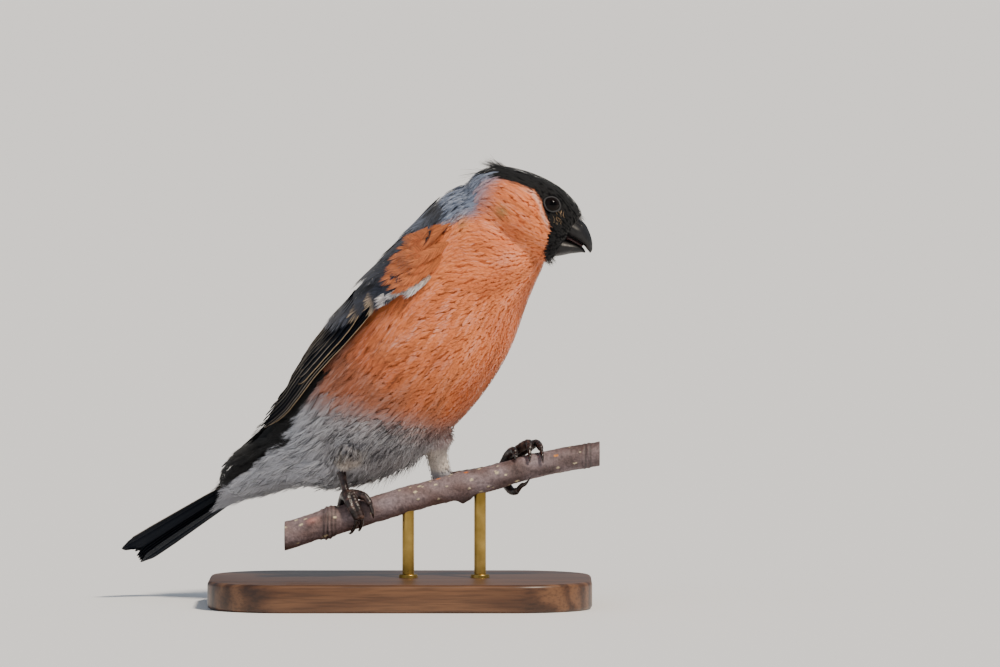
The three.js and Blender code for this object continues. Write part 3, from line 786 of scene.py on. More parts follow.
def barb_mesh(path, outs, width, rise, count, ribbon, rng, reach, ragged, tip_round, roll=0.25):
    """Ribbons for every feather. path and outs are its shaft and the way out of the body,
    width its half width, and rise(t) its height over the path. Returns arrays by barb."""
    feathers = len(path)
    shape = (feathers, count)
    start = FIRST_BARB + (LAST_BARB - FIRST_BARB) * (
        np.arange(count) + rng.random(shape)) / count
    side = np.where((np.arange(count) + rng.integers(0, 2, (feathers, 1))) % 2, 1.0, -1.0)
    end = np.minimum(start + reach * (1 + 0.5 * rng.random(shape)), 1.0)
    end = end * (1 - ragged * rng.random(shape))
    round_off = np.sqrt(np.clip(1 - (np.clip(end - tip_round, 0, 1) / (1 - tip_round)) ** 2, 0, 1))
    spread = side * width[:, None] * round_off * np.minimum(1, 0.55 + end)
    spread *= 1 - 0.45 * rng.random(shape) ** 2
    q = RIBBON_STEPS
    t = start[..., None] + (end - start)[..., None] * q
    lateral = spread[..., None] * q ** 0.8
    middle = along_path(path, t)
    out = unit(along_path(outs, t))
    ahead = unit(along_path(path, t + 0.04) - along_path(path, t - 0.04))
    across = np.cross(out, ahead)
    sag = lateral ** 2 / BODY_CURVE
    centre = middle + across * lateral[..., None]
    centre += out * (rise(t, start[..., None]) - sag)[..., None]
    way = unit(np.gradient(centre, axis=2))
    edge = unit(np.cross(out, way))
    lean = roll * (2 * rng.random(shape) - 1)
    edge = (edge * np.cos(lean)[..., None, None] + out * np.sin(lean)[..., None, None])
    half = (ribbon * (0.75 + 0.5 * rng.random(shape)))[..., None] * RIBBON_TAPER / 2
    normal = unit(SOFTNESS * out + (1 - SOFTNESS) * np.cross(way, edge))
    return {
        "left": centre + edge * half[..., None], "right": centre - edge * half[..., None],
        "t": t, "lateral": lateral / np.maximum(width, 0.01)[:, None, None],
        "centre": centre, "normal": normal}


def ribbons_to_mesh(name, barbs, colours, uv_roots):
    """One mesh of all barbs: two quads' worth of triangles and a pointed tip each."""
    feathers, count, _, _ = barbs["left"].shape
    strips = feathers * count

    def both_edges(left, right, tip):
        body = np.stack([left[:, :, :3], right[:, :, :3]], 3)
        return np.concatenate([body.reshape(strips, 6, 3), tip[:, :, 3].reshape(strips, 1, 3)], 1)

    points = both_edges(barbs["left"], barbs["right"], barbs["centre"])
    normals = both_edges(barbs["normal"], barbs["normal"], barbs["normal"])
    pattern = np.array([0, 1, 2, 1, 3, 2, 2, 3, 4, 3, 5, 4, 4, 5, 6])
    index = (np.arange(strips)[:, None] * 7 + pattern).ravel()
    tint = both_edges(colours, colours, colours)
    patch = np.stack([barbs["lateral"] / 2, barbs["t"] - 0.5], -1) * PATCH
    shift = np.array([PATCH * 0.04, 0])
    uv = uv_roots[:, None, None] + patch
    uv = np.concatenate([
        np.stack([uv[:, :, :3] - shift, uv[:, :, :3] + shift], 3).reshape(strips, 6, 2),
        uv[:, :, 3].reshape(strips, 1, 2)], 1)
    return mesh_from_arrays(name, points.reshape(-1, 3), index, tint.reshape(-1, 3),
                            uv.reshape(-1, 2), normals.reshape(-1, 3))


def gathered(parts):
    """The barbs and the colours of several rows of feathers as one set."""
    keys = ("left", "right", "centre", "normal", "t", "lateral")
    barbs = {key: np.concatenate([part[0][key] for part in parts]) for key in keys}
    return barbs, np.clip(np.concatenate([part[1] for part in parts]), 0.002, 0.95)


def mesh_from_arrays(name, points, index, colours, uv, normals=None):
    """A mesh of triangles with its colours, its OFBake map and the way it faces the light."""
    data = bpy.data.meshes.new(name)
    faces = len(index) // 3
    data.vertices.add(len(points))
    data.vertices.foreach_set("co", (points * MM).astype(np.float32).ravel())
    data.loops.add(len(index))
    data.loops.foreach_set("vertex_index", index.astype(np.int32))
    data.polygons.add(faces)
    data.polygons.foreach_set("loop_start", np.arange(0, len(index), 3, dtype=np.int32))
    data.update(calc_edges=True)
    data.polygons.foreach_set("use_smooth", np.ones(faces, bool))
    layer = data.uv_layers.new(name="OFBake")
    layer.uv.foreach_set("vector", uv[index].astype(np.float32).ravel())
    if normals is not None:
        data.normals_split_custom_set_from_vertices(normals.astype(np.float32))
    made = bpy.data.objects.new(name, data)
    bpy.context.scene.collection.objects.link(made)
    paint(made, colours)
    return made


def patches_at(places):
    """Where each tuft's patch lies when the places are spread over the whole map."""
    low, high = places.min(0), places.max(0)
    return PATCH + (places - low) / (high - low) * (1 - 2 * PATCH)


def unwrapped(points):
    """The skin's own unwrap: angle across and spine fraction up, with the head above."""
    u, degrees = body_place(points)
    head = head_place(points)
    up = u * 0.7 + 0.3 * step(-14, 14, head[:, 0])
    return np.stack([degrees / 360 + 0.5, up], 1)


print("barbs ready")

# %% [markdown]
# Now the coat itself. Length, spacing and looseness change over the body: about a
# millimetre at the bill, three on the cheek, seven on the breast, and long loose down on the
# belly. Nothing grows where a folded wing covers the body, or on the eye or bill.

# %% Grow the coat
WING_LOW = np.array([  # spine fraction, degrees: the folded wing's lower edge
    (0.2, 40), (0.26, 68), (0.28, 82), (0.30, 76), (0.345, 72), (0.405, 68), (0.47, 64),
    (0.545, 64), (0.63, 68), (0.73, 78), (0.83, 86)])


def coat_length(points):
    """How long the feathers are at each point, in millimetres."""
    u, degrees = body_place(points)
    side = np.abs(degrees)
    head = head_place(points)
    length = np.interp(u, [0.1, 0.3, 0.5, 0.8, 1], [4.5, 7.5, 7.5, 6.5, 5])
    edge = np.interp(side, *VENT_EDGE.T)
    length += 2.0 * step(edge + 0.05, edge - 0.05, u) * step(90, 130, side)
    on_head = step(-16, -6, head[:, 0])
    length = length * (1 - on_head) + on_head * np.interp(
        head[:, 0], [-8, 2, 9, 13], [4.2, 3.0, 1.7, 0.9])
    eye = np.hypot(head[:, 0] - EYE[0], head[:, 2] - EYE[2])
    by_eye = (np.abs(head[:, 1]) > 5) & (eye < 4.5)
    length = np.where(by_eye, np.minimum(length, 0.35 * eye), length)
    for path, _ in THIGHS.values():
        top = path[0][2]
        near = step(6, 4, from_thigh(points, path))
        length = length * (1 - 0.6 * step(top, top - 3.5, points[:, 2]) * near)
    return length


def coat_spacing(points):
    """How far apart feathers stand, or 0 where none grows."""
    u, degrees = body_place(points)
    side = np.abs(degrees)
    head = head_place(points)
    spacing = 0.16 + 0.205 * coat_length(points)
    covered = (u > 0.2) & (u < 0.8) & (side > 15) & (side < np.interp(u, *WING_LOW.T) - 5)
    eye = np.hypot(head[:, 0] - EYE[0], head[:, 2] - EYE[2])
    in_eye = (eye < 2.15) & (np.abs(head[:, 1]) > 4) & (head[:, 0] > 0)
    in_bill = (head[:, 0] > 12.2) & (
        ((head[:, 2] - 0.85) / 5.4) ** 2 + (head[:, 1] / 4.4) ** 2 < 1)
    bare = covered | in_eye | in_bill | (u < 0.125)
    return np.where(bare, 0, spacing)


ROOT_CELL = 1.9
ROOT_TRIES = 60000
rng = np.random.default_rng(11)
roots = scattered(coat_spacing, ROOT_CELL, ROOT_TRIES, rng)
lengths = coat_length(roots) * rng.uniform(0.88, 1.14, len(roots))
root_u, root_degrees = body_place(roots)
root_side = np.abs(root_degrees)
root_head = head_place(roots)
on_head = (root_head[:, 0] > -9) & (root_u > 0.85)
vent = np.interp(root_side, *VENT_EDGE.T) + 0.02
on_thigh = np.zeros(len(roots), bool)
for path, _ in THIGHS.values():
    on_thigh |= (roots[:, 2] < path[0][2] - 1.5) & (from_thigh(roots, path) < 5.5)
on_cap = on_head & (root_head[:, 2] > np.interp(root_head[:, 0], *CAP_EDGE.T) - 0.2)
on_belly = ~on_head & ~on_thigh & (root_u < vent)
on_back = ~on_head & ~on_belly & ~on_thigh & (root_side < np.interp(root_u, *MANTLE_EDGE.T))
on_breast = ~(on_head | on_belly | on_back | on_thigh)
long_down = on_belly & (root_u > 0.33) & (root_side > 88) & (rng.random(len(roots)) < 0.4)
long_down &= ~((root_side > 160) & (root_u > 0.5))
lengths[long_down] *= 1.55
shafts, outs = comb(roots, lengths)
print("coat feathers", len(roots))

# %% [markdown]
# Each barb takes the marking's colour at its feather's tip. Soft streaks along the lie, a
# little unevenness from barb to barb and darker roots let single feathers show. The darker
# roots are partly the grey down and partly painted shade where the feathers overlap. The coat
# becomes sixteen joined pieces, by colour and by part of the body.

# %% Colour the feathers and make them pieces
STREAK_LENGTH, STREAK_WIDTH = 7, 0.55


def streaks(path, barbs, width, head):
    """Soft noise from -1 to 1, stretched along the lie of the coat. Its pattern lives in
    millimetres along the body and degrees round it, or round the head."""
    if head:
        x, y, z = head_place(path.reshape(-1, 3)).T
        along, round_it = x, np.degrees(np.arctan2(-y, z - 0.5))
    else:
        u, round_it = body_place(path.reshape(-1, 3))
        along = u * SPINE_LENGTH
    there = np.stack([along, round_it], -1).reshape(*path.shape[:2], 2)
    there = along_path(there, barbs["t"][:, :, 2])
    sideways = barbs["lateral"][:, :, 2] * width[:, None]
    degree = 0.18 if head else 0.32  # millimetres across one degree
    across = there[..., 1] * degree + sideways
    flat = np.stack([there[..., 0] / STREAK_LENGTH, across / STREAK_WIDTH, 0 * across],
                    -1).reshape(-1, 3)
    wide = flat * [0.8, 0.3, 1]
    found = clouds(flat, 1.0, 4.0) + 0.7 * clouds(wide, 1.0, 9.0)
    return found.reshape(across.shape)[..., None]


def coat_colours(barbs, path, width, contrast, head, rng, mixed, dark_roots):
    """Each barb's colour: the marking at its feather's tip, or at its own on the head where
    edges are sharp, streaked along the lie, and darker at its root: partly the grey of the
    down and partly painted shade where the feathers overlap."""
    feathers, count, _, _ = barbs["centre"].shape
    if head:
        base = plumage(barbs["centre"][:, :, 3].reshape(-1, 3)).reshape(feathers, count, 3)
    else:
        base = plumage(path[:, -1])[:, None] * np.ones((1, count, 1))
    streak = streaks(path, barbs, width, head) * contrast
    streak = streak + 0.02 * rng.standard_normal((feathers, 1, 1))
    streak = streak + mixed * rng.standard_normal((feathers, count, 1))
    light = np.clip(streak, 0, 1)
    paler = base + (0.9 - base) * 0.6 * np.sqrt(base.mean(2, keepdims=True))
    tint = base * (1 + np.clip(streak, -0.8, 0)) + light * (paler - base)
    # partly painted shade: barbs darken at the root, to grey down and to the overlap's shade
    root_down_and_shade = step(0.35, 0.0, barbs["t"])[..., None] * dark_roots
    tint = tint[:, :, None] * (1 - root_down_and_shade) + root_down_and_shade * np.minimum(PLUMAGE["down"], base[:, :, None])
    return np.clip(tint, 0.002, 0.95)


def coat_piece(name, chosen, count, ribbon, slot, loose=0.0, contrast=0.25, head=False,
               reach=0.42, width=0.17, mixed=0.1, dark_roots=0.1):
    """One joined piece of the coat from the chosen feathers, with count barbs to a feather,
    each ribbon millimetres wide. loose is how far they fluff up, contrast how strong their
    streaks are and mixed how much barbs differ."""
    rng = np.random.default_rng(len(name) + int(chosen.sum()))
    path, out, length = shafts[chosen], outs[chosen], lengths[chosen]
    width = length * width + 0.12
    depth = np.interp(head_place(roots[chosen])[:, 0], [-26, -8, 13], [
        COAT_DEPTH, FACE_DEPTH + 0.15, BROW_DEPTH])
    fluff = loose * rng.uniform(0, 1, len(path))

    def rise(t, start):
        lift = depth[:, None, None] * (0.66 + 0.34 * step(-0.1, 0.8, t))
        wild = rng.normal(0, 0.015 + 0.08 * loose, start.shape) * length[:, None, None] / 7
        return lift + (fluff[:, None, None] + wild) * t ** 2 * 2.0

    barbs = barb_mesh(path, out, width, rise, count, ribbon, rng,
                      reach=reach, ragged=0.12 + 0.2 * loose, tip_round=0.4)
    colours = coat_colours(barbs, path, width, contrast, head, rng, mixed, dark_roots)
    piece = ribbons_to_mesh(name, barbs, colours, patches_at(unwrapped(roots[chosen])))
    dress(piece, loose_keratin, slot)


right = root_degrees > 0
coat_piece("coat_cap", on_cap, 18, 0.12, "black_plumage", contrast=0.15, head=True)
coat_piece("coat_cheeks", on_head & ~on_cap, 21, 0.125, "orange_plumage", head=True)
coat_piece("coat_mantle", on_back, 38, 0.13, "grey_plumage", 0.15, contrast=0.55, mixed=0.4)
for word, half in (("right", right), ("left", ~right)):
    for low, high, part in ((0.8, 1.1, "throat"), (0.72, 0.8, "breast"),
                            (0.62, 0.72, "keel"), (0, 0.62, "flank")):
        chosen = on_breast & half & (root_u >= low) & (root_u < high)
        coat_piece(f"coat_{part}_{word}", chosen, 32, 0.135, "orange_plumage", 0.02,
                   contrast=0.34)
    coat_piece(f"coat_belly_{word}", on_belly & ~long_down & half, 40, 0.11, "pale_down", 0.5,
               contrast=0.45, mixed=0.4, dark_roots=0.4)
    coat_piece(f"long_down_{word}", long_down & half, 34, 0.12, "pale_down", 0.9, contrast=0.8,
               reach=0.7, width=0.12, mixed=0.9, dark_roots=0.7)
coat_piece("coat_thighs", on_thigh, 20, 0.12, "pale_down", 0.15, contrast=0.3, mixed=0.15)

# %% [markdown]
# The firm feathers of a folded wing lie in tiers like roof tiles: primaries reach furthest
# back, secondaries cover their roots, and two rows of coverts cover those. Each feather is
# given a root and a tip in the body's coordinates and a width. A flight feather is one thin
# sheet with a raised shaft off its middle, narrower on the outer side, because hooks hold
# its barbs together. It is modelled as one sheet with a grid of rows and columns.

# %% Flight feathers
VANE_ACROSS = np.array([-1, -0.96, -0.9, -0.5, -0.05, 0, 0.05, 0.5, 0.9, 0.96, 1])
SHAFT = 5  # the column of the shaft
VANE_ROWS = 24
VANE_THICKNESS = 0.14
SHAFT_RIDGE = 0.16
WING = {
    "primaries": {
        "count": 9, "width": 6.2, "bow": -5, "tilt": 0.5, "outer": 0.66,
        "root": ((0.72, 0.68), (66, 52), (0.6, 0.6)),
        "tip": ((0.275, 0.255, 0.258, 0.266, 0.275, 0.29, 0.33),
                (62, 59, 54, 46, 38, 30, 22), (0.7, 1.2))},
    "secondaries": {
        "count": 9, "width": 7.0, "bow": -2, "tilt": 0.6, "outer": 0.75,
        "root": ((0.66, 0.66), (58, 20), (0.9, 0.9)),
        "tip": ((0.4, 0.415, 0.42, 0.38, 0.39, 0.43), (54, 16), (1.0, 1.0))},
}
LEFT_TIP = (  # the left wing reaches further back, over the root of the tail
    (0.17, 0.12, 0.097, 0.095, 0.12, 0.16, 0.2), (46, 28, 10, 0, 8, 18, 30), (0.8, 1.4))
LEFT_SWEEP = 4.5  # it crosses to the middle of the back only near its tip
BLUE_BLACK = rgb("#07080c")
PALE_EDGE = rgb("#a3988a")
BUFF_EDGE = rgb("#c2a988")


def spread(values, count):
    """Evenly spread or listed values for count feathers."""
    return np.interp(np.linspace(0, 1, count), np.linspace(0, 1, len(values)), values)


def vane_outline(t):
    """A vane's half width along it, as a share of its widest."""
    return np.interp(t, [0, 0.1, 0.3, 0.65, 0.84, 0.93, 0.98, 1],
                     [0.3, 0.65, 0.92, 1, 0.86, 0.62, 0.36, 0.12])


def sheet_mesh(name, top, outs, colours, width, length):
    """Thin closed sheets from grids of points, one for each feather, as one mesh."""
    feathers, rows, columns, _ = top.shape
    under = top - outs * VANE_THICKNESS
    points = np.stack([top, under], 1).reshape(-1, 3)
    each = rows * columns
    i, j = np.meshgrid(np.arange(rows - 1), np.arange(columns - 1), indexing="ij")
    a = (i * columns + j).ravel()
    upper = np.column_stack([a, a + 1, a + columns + 1, a, a + columns + 1, a + columns])
    lower = np.column_stack([a, a + columns + 1, a + 1, a, a + columns, a + columns + 1]) + each
    rim = np.concatenate([
        np.arange(columns - 1), np.arange(rows - 1) * columns + columns - 1,
        each - 1 - np.arange(columns - 1), (rows - 1 - np.arange(rows - 1)) * columns])
    after = np.roll(rim, -1)
    wall = np.column_stack([rim, rim + each, after, after, rim + each, after + each])
    pattern = np.concatenate([upper.ravel(), lower.ravel(), wall.ravel()])
    index = (np.arange(feathers)[:, None] * 2 * each + pattern).ravel()
    across = VANE_ACROSS[None, None] * np.ones((feathers, rows, 1))
    t = np.linspace(0, 1, rows)[None, :, None] * np.ones((feathers, 1, columns))
    cells = math.ceil(math.sqrt(feathers))
    cell = np.stack([np.arange(feathers) % cells, np.arange(feathers) // cells], -1)
    uv = (cell[:, None, None] + 0.05 + 0.9 * np.stack([across / 2 + 0.5, t], -1)) / cells
    millimetres = np.stack([across * width[:, None, None], t * length[:, None, None]], -1)
    tint, bake, vane = (np.stack([grid, grid], 1).reshape(-1, grid.shape[-1])
                        for grid in (colours, uv, millimetres))  # above and below alike
    piece = mesh_from_arrays(name, points, index, tint, bake)
    layer = piece.data.uv_layers.new(name="vane")
    layer.uv.foreach_set("vector", vane[index].astype(np.float32).ravel())
    return piece


def flight_tier(name, side, word):
    """A tier of flight feathers. side is 1 on the bird's right and -1 on its left."""
    row = WING[name]
    count = row["count"]
    rng = np.random.default_rng(5 + count)
    root_u, root_angle, root_lift = (spread(v, count)[:, None, None] for v in row["root"])
    tips = LEFT_TIP if side < 0 and name == "primaries" else row["tip"]
    tip_u, tip_angle, tip_lift = (spread(v, count)[:, None, None] for v in tips)
    t = np.linspace(0, 1, VANE_ROWS)[None, :, None]
    q = VANE_ACROSS[None, None]
    half = row["width"] / 2 * vane_outline(t) * (1 + 0.03 * rng.standard_normal((count, 1, 1)))
    half = half * np.where(q > 0, row["outer"], 1) * (1 + 0.02 * rng.standard_normal(
        (count, VANE_ROWS, 1)) * (np.abs(q) > 0.9))
    u = root_u + (tip_u - root_u) * t
    u = u + q ** 2 * 0.012 * step(0.75, 1, t)
    depth = body_frame(u)[3]
    sweep = t ** (LEFT_SWEEP if tips is LEFT_TIP else 1)
    angle = root_angle + (tip_angle - root_angle) * sweep + row["bow"] * np.sin(math.pi * t)
    angle = angle + q * np.degrees(half / (depth + 2))
    lift = root_lift + (tip_lift - root_lift) * np.minimum(1, 1.6 * t) + 0.35
    lift = lift + row["tilt"] * (q > 0) * q + SHAFT_RIDGE * (q == 0) - 0.1 * q ** 2
    top = body_point(u * np.ones_like(angle), side * angle, lift)
    outs = unit(body_point(u * np.ones_like(angle), side * angle, lift + 1) - top)
    length = np.linalg.norm(np.diff(top[:, :, SHAFT], axis=1), axis=2).sum(1)
    share = (q > 0.95) * step(0.3, 0.5, t) * rng.uniform(0.1, 0.9, (count, 1, 1))
    share[0] = np.maximum(share[0], (q[0] > 0.95) * 0.9)
    edge = np.where(np.arange(count)[:, None, None, None] < 1, BUFF_EDGE, PALE_EDGE)
    shade = 1 + 0.1 * rng.standard_normal((count, 1, 1))
    colours = (BLUE_BLACK * shade[..., None]) * (1 - share[..., None]) + edge * share[..., None]
    if side < 0:
        top, outs, colours = top[:, :, ::-1], outs[:, :, ::-1], colours[:, :, ::-1]
    return sheet_mesh(f"{name}_{word}", top, outs, colours, np.full(count, row["width"] / 2),
                      length)


# %% [markdown]
# A flight feather's colour is black with a cold blue gloss. The gloss comes from its
# structure, so it belongs to the reflection: a smooth surface, a blue tint on the
# highlight, and fine ridges where barbs run off the shaft at a slant. The ridges follow the
# feather's own map in millimetres. Real barbs stand 0.35 mm apart here.

# %% Glossy feather keratin
BARB_PITCH = 0.35
glossy_keratin, tree, shader = new_material(
    "glossy feather keratin", Roughness=0.44, Specular_IOR_Level=0.16,
    Specular_Tint=hex_colour("#9db4e6"))
place = add_node(tree, "SeparateXYZ", {
    "Vector": add_node(tree, "UVMap", uv_map="vane").outputs["UV"]})
off_shaft = add_node(tree, "Math", {0: place.outputs["X"]}, operation="ABSOLUTE")
slant = add_node(tree, "Math", {0: off_shaft.outputs[0], 1: -1.1, 2: place.outputs["Y"]},
                 operation="MULTIPLY_ADD")
ridges = add_node(tree, "Math", {0: slant.outputs[0], 1: 2 * math.pi / BARB_PITCH},
                  operation="MULTIPLY")
ridges = add_node(tree, "Math", {0: ridges.outputs[0]}, operation="SINE")
bump_by(shader, ridges.outputs[0], 0.04, 0.6)
colour_by(shader, painted(tree))

for side, word in ((-1, "left"), (1, "right")):
    for name in WING:
        dress(flight_tier(name, side, word), glossy_keratin, "black_plumage",
              f"wing_{word}_{name}")

# %% [markdown]
# The coverts are softer: their barbs are only loosely hooked and show one by one, slate
# grey over the black below, with pale tips that make the wing bar. They are drawn barb by
# barb, like the coat, but close and in one plane.

# %% Coverts and shoulder feathers
UNEVEN = 0.012  # how far a covert's tip strays from its row, unless the row says more
COVERTS = {
    "greater": {
        "count": 13, "width": 3.0, "colours": ("#101218", "#2c3140", "#6c7282"),
        "root": ((0.82, 0.8, 0.77, 0.75, 0.75, 0.75, 0.75, 0.75), (70, 12), (0.9, 0.9)),
        "tip": ((0.715, 0.665, 0.595, 0.555, 0.53, 0.52, 0.52, 0.53), (68, 12), (1.6, 2.2))},
    "median": {
        "count": 12, "width": 2.9, "colours": ("#13161d", "#2a2f3d", "#414757"),
        "root": ((0.87, 0.85, 0.85, 0.85), (68, 12), (0.9, 0.9)),
        "tip": ((0.77, 0.73, 0.69, 0.66, 0.65), (67, 12), (2.1, 2.5))},
    "lesser": {
        "count": 12, "width": 2.6, "colours": ("#181b23", "#323745", "#4b5161"),
        "root": ((0.91, 0.91), (62, 10), (0.2, 0.2)),
        "tip": ((0.82, 0.79, 0.77, 0.76, 0.76), (60, 10), (1.8, 2.2))},
    "shoulder": {
        "count": 11, "width": 2.6, "colours": ("#373c48", "#6a7180", "#8f96a5"),
        "root": ((0.945, 0.945), (54, 8), (-0.8, -0.8)),
        "tip": ((0.87, 0.85, 0.83, 0.82, 0.82), (50, 9), (1.3, 1.9))},
    "flank": {
        "count": 11, "width": 1.2, "uneven": 0.02, "colours": ("#dcb9a4", "#d6cfcc", "#8f8d94"),
        "root": ((0.845, 0.80), (87, 74), (-1.4, -1.2)),
        "tip": ((0.785, 0.765, 0.735, 0.70), (82, 66), (1.3, 2.6))},
    "collar": {
        "count": 34, "width": 2.3, "uneven": 0.03, "colours": ("#c9713f", "#e0824f", "#a8674a"),
        "root": ((0.88, 0.885, 0.895, 0.90), (86, 62), (-1.5, -1.2)),
        "tip": ((0.79, 0.79, 0.80, 0.815, 0.84), (73, 51), (2.6, 3.4))},
}


def covert_paths(row, side, rng):
    """Shafts of a row of coverts and the way out at each point."""
    count = row["count"]
    root_u, root_angle, root_lift = (spread(v, count)[:, None] for v in row["root"])
    tip_u, tip_angle, tip_lift = (spread(v, count)[:, None] for v in row["tip"])
    uneven = row.get("uneven", UNEVEN)
    tip_u = tip_u + uneven * rng.standard_normal((count, 1))
    root_u = root_u + (uneven - UNEVEN) * rng.standard_normal((count, 1))
    t = np.linspace(0, 1, 9)[None]
    u = root_u + (tip_u - root_u) * t
    angle = root_angle + (tip_angle - root_angle) * t
    lift = root_lift + (tip_lift - root_lift) * t
    path = body_point(u, side * angle, lift)
    return path, unit(body_point(u, side * angle, lift + 1) - path)


def covert_piece(side, word):
    """All coverts of one wing as one mesh."""
    parts = []
    for name, row in COVERTS.items():
        rng = np.random.default_rng(20 + row["count"] + len(parts) + (side > 0))
        path, outs = covert_paths(row, side, rng)
        barbs = barb_mesh(path, outs, np.full(len(path), row["width"]),
                          lambda t, start: 0.25 * t, count=110, ribbon=0.24, rng=rng,
                          reach=0.2, ragged=0.05, tip_round=0.72, roll=0.3)
        dark, middle, pale = (rgb(code) for code in row["colours"])
        t = barbs["t"][..., None]
        tint = dark + (middle - dark) * step(0.15, 0.6, t)
        tint = tint + (pale - tint) * step(0.8, 0.95, t)
        if name == "greater":
            tint[1:4] += (BUFF_EDGE - tint[1:4]) * 0.8 * step(0.72, 0.9, t[1:4])
        mixed = 0.16 if name == "collar" else 0.4
        tint = tint * (1 + mixed * rng.standard_normal(tint.shape[:2] + (1, 1))).clip(0.4, 2.2)
        parts.append((barbs, tint))
    barbs, tint = gathered(parts)
    return ribbons_to_mesh(f"coverts_{word}", barbs, tint,
                           patches_at(unwrapped(barbs["centre"][:, 0, 0])))


for side, word in ((-1, "left"), (1, "right")):
    dress(covert_piece(side, word), loose_keratin, "grey_plumage", f"wing_{word}_coverts")

# %% [markdown]
# Twelve tail feathers lie in six pairs, the middle pair on top. They run on from the body on
# axes of their own: a runs back along the tail, s to the bird's right and n out of its top.
# The tail hangs lower than the body's line and is rolled, its near edge raised.

# %% Tail
TAIL_PAIRS = 6
TAIL_LENGTH = 32.5
VANE_HALF_WIDTH = 3.1
TAIL_YAW, TAIL_PITCH, TAIL_ROLL = (math.radians(x) for x in (12, 33, 22))
TAIL_ROOT = body_frame(np.array(0.105))[0] + [0.7, 0, -1.2]
TAIL_TURN = turned("z", -TAIL_YAW) @ turned("y", -TAIL_PITCH) @ turned("x", -TAIL_ROLL)


def tail_point(a, s, n):
    a, s, n = np.broadcast_arrays(a, s, n)
    return np.stack([-a, -s, n], -1) @ TAIL_TURN.T + TAIL_ROOT


def tail_feathers():
    pair = np.repeat(np.arange(TAIL_PAIRS), 2)[:, None, None]
    side = np.tile([-1.0, 1.0], TAIL_PAIRS)[:, None, None]
    each = np.ones(pair.shape)
    rng = np.random.default_rng(6)
    t = np.linspace(0, 1, VANE_ROWS)[None, :, None]
    q = VANE_ACROSS[None, None]
    outward = q * side > 0
    half = VANE_HALF_WIDTH * np.interp(
        t, [0, 0.2, 0.7, 0.9, 0.97, 1], [0.5, 0.8, 1, 0.95, 0.75, 0.45])
    half = half * np.where(outward, 0.8, 1) * each
    tip = TAIL_LENGTH - 1.2 + 0.3 * pair + 0.3 * rng.standard_normal(pair.shape)
    a = 0.3 + (tip - 0.3) * t - 1.4 * q ** 2 * step(0.85, 1, t)
    a = a - 2.2 * (pair > 4) * (side > 0) * outward * q ** 2 * step(0.8, 1, t)
    s = side * (0.5 + 0.6 * pair) * (1 - t) + side * (1.2 + 0.95 * pair) * t + q * half
    n = 1.25 - 0.3 * pair + 0.1 * pair * t + 0.2 * q * side - 0.12 * q ** 2
    n = n + SHAFT_RIDGE * (q == 0) + 0.02 * side
    top = tail_point(a, s, n)
    outs = np.broadcast_to(TAIL_TURN[:, 2], top.shape)
    shade = BLUE_BLACK * (1 + 0.1 * rng.standard_normal((*pair.shape, 1)))
    share = ((np.abs(q) > 0.9) & outward & (pair > 3)) * 0.35 * (each + 0 * t)
    colours = shade * (1 - share[..., None]) + PALE_EDGE * share[..., None]
    return sheet_mesh("tail_feathers", top[:, :, ::-1], outs[:, :, ::-1], colours[:, :, ::-1],
                      VANE_HALF_WIDTH * each.ravel(), TAIL_LENGTH * each.ravel())


dress(tail_feathers(), glossy_keratin, "black_plumage", "tail")

# %% [markdown]
# The tail's root is wrapped in coverts: glossy black ones above, and long soft white ones
# below, which make the pale wedge under the tail.

# %% Tail coverts


def tail_covert_piece():
    """Coverts over and under the tail's root, as one mesh."""
    rng = np.random.default_rng(31)
    parts = []
    for over, count, rows in ((1, 7, 3), (-1, 9, 5)):
        for row in range(rows):
            s = np.linspace(-4.6, 4.6, count)[:, None] + rng.normal(0, 0.25, (count, 1))
            middle = 1 - np.abs(s) / 9
            t = np.linspace(0, 1, 9)[None]
            reach = (9.5 if over < 0 else 7.5) * middle - 2.6 * row
            reach = reach + rng.normal(0, 0.5, (count, 1))
            a = (reach - 9) + 9 * t
            height = over * (1.5 + 1.4 * middle + 0.35 * row) * (1 - 0.42 * step(-6, 9, a))
            path = tail_point(a, s * (1.15 - 0.25 * t), height)
            outs = unit(np.broadcast_to(TAIL_TURN[:, 2] * over, path.shape)
                        - 0.12 * s[..., None] * TAIL_TURN[:, 1])
            barbs = barb_mesh(path, outs, np.full(count, 1.9), lambda t, start: 0.3 * t,
                              count=60, ribbon=0.16, rng=rng, reach=0.3, ragged=0.12,
                              tip_round=0.6)
            base = PLUMAGE["white"] if over < 0 else PLUMAGE["cap"]
            tint = base * (1 + 0.07 * rng.standard_normal(barbs["t"].shape[:2] + (1, 1)))
            parts.append((barbs, tint * np.ones(barbs["t"].shape + (1,))))
    barbs, tint = gathered(parts)
    roots_here = (barbs["centre"][:, 0, 0] - TAIL_ROOT) @ TAIL_TURN
    return ribbons_to_mesh("tail_coverts", barbs, tint, patches_at(roots_here[:, :2]))


dress(tail_covert_piece(), loose_keratin, "pale_down")

# %% [markdown]
# The eye is a wet ball set deep in the head: almost black, with a dark brown iris that shows
# only where light falls in. Its cornea bulges a little. The lid is a ring of bare grey skin
# with a fine crumpled rim. A torus is the right start for it.

# %% Eyes and lids
EYE_RADIUS = 2.3
LID_RADIUS = 1.82
LID_THICKNESS = 0.28


def eye_axes(side):
    """The eye's centre, and its axes: forward, out of the socket, up. In head axes, so that
    side is 1 on the bird's left."""
    turn = turned("z", math.radians(-10 * side)) @ turned("x", math.radians(22 * side))
    return np.array([EYE[0], side * EYE[1], EYE[2]]), turn @ np.diag([1, side, 1])


cornea, tree, shader = new_material(
    "wet cornea over a dark iris", Roughness=0.04, Specular_IOR_Level=0.12)
fibres = noise_of(tree, 0.25, 4.0, space="Generated")
colour_by(shader, painted(tree), mapped(tree, fibres, 0.6, 1.5))

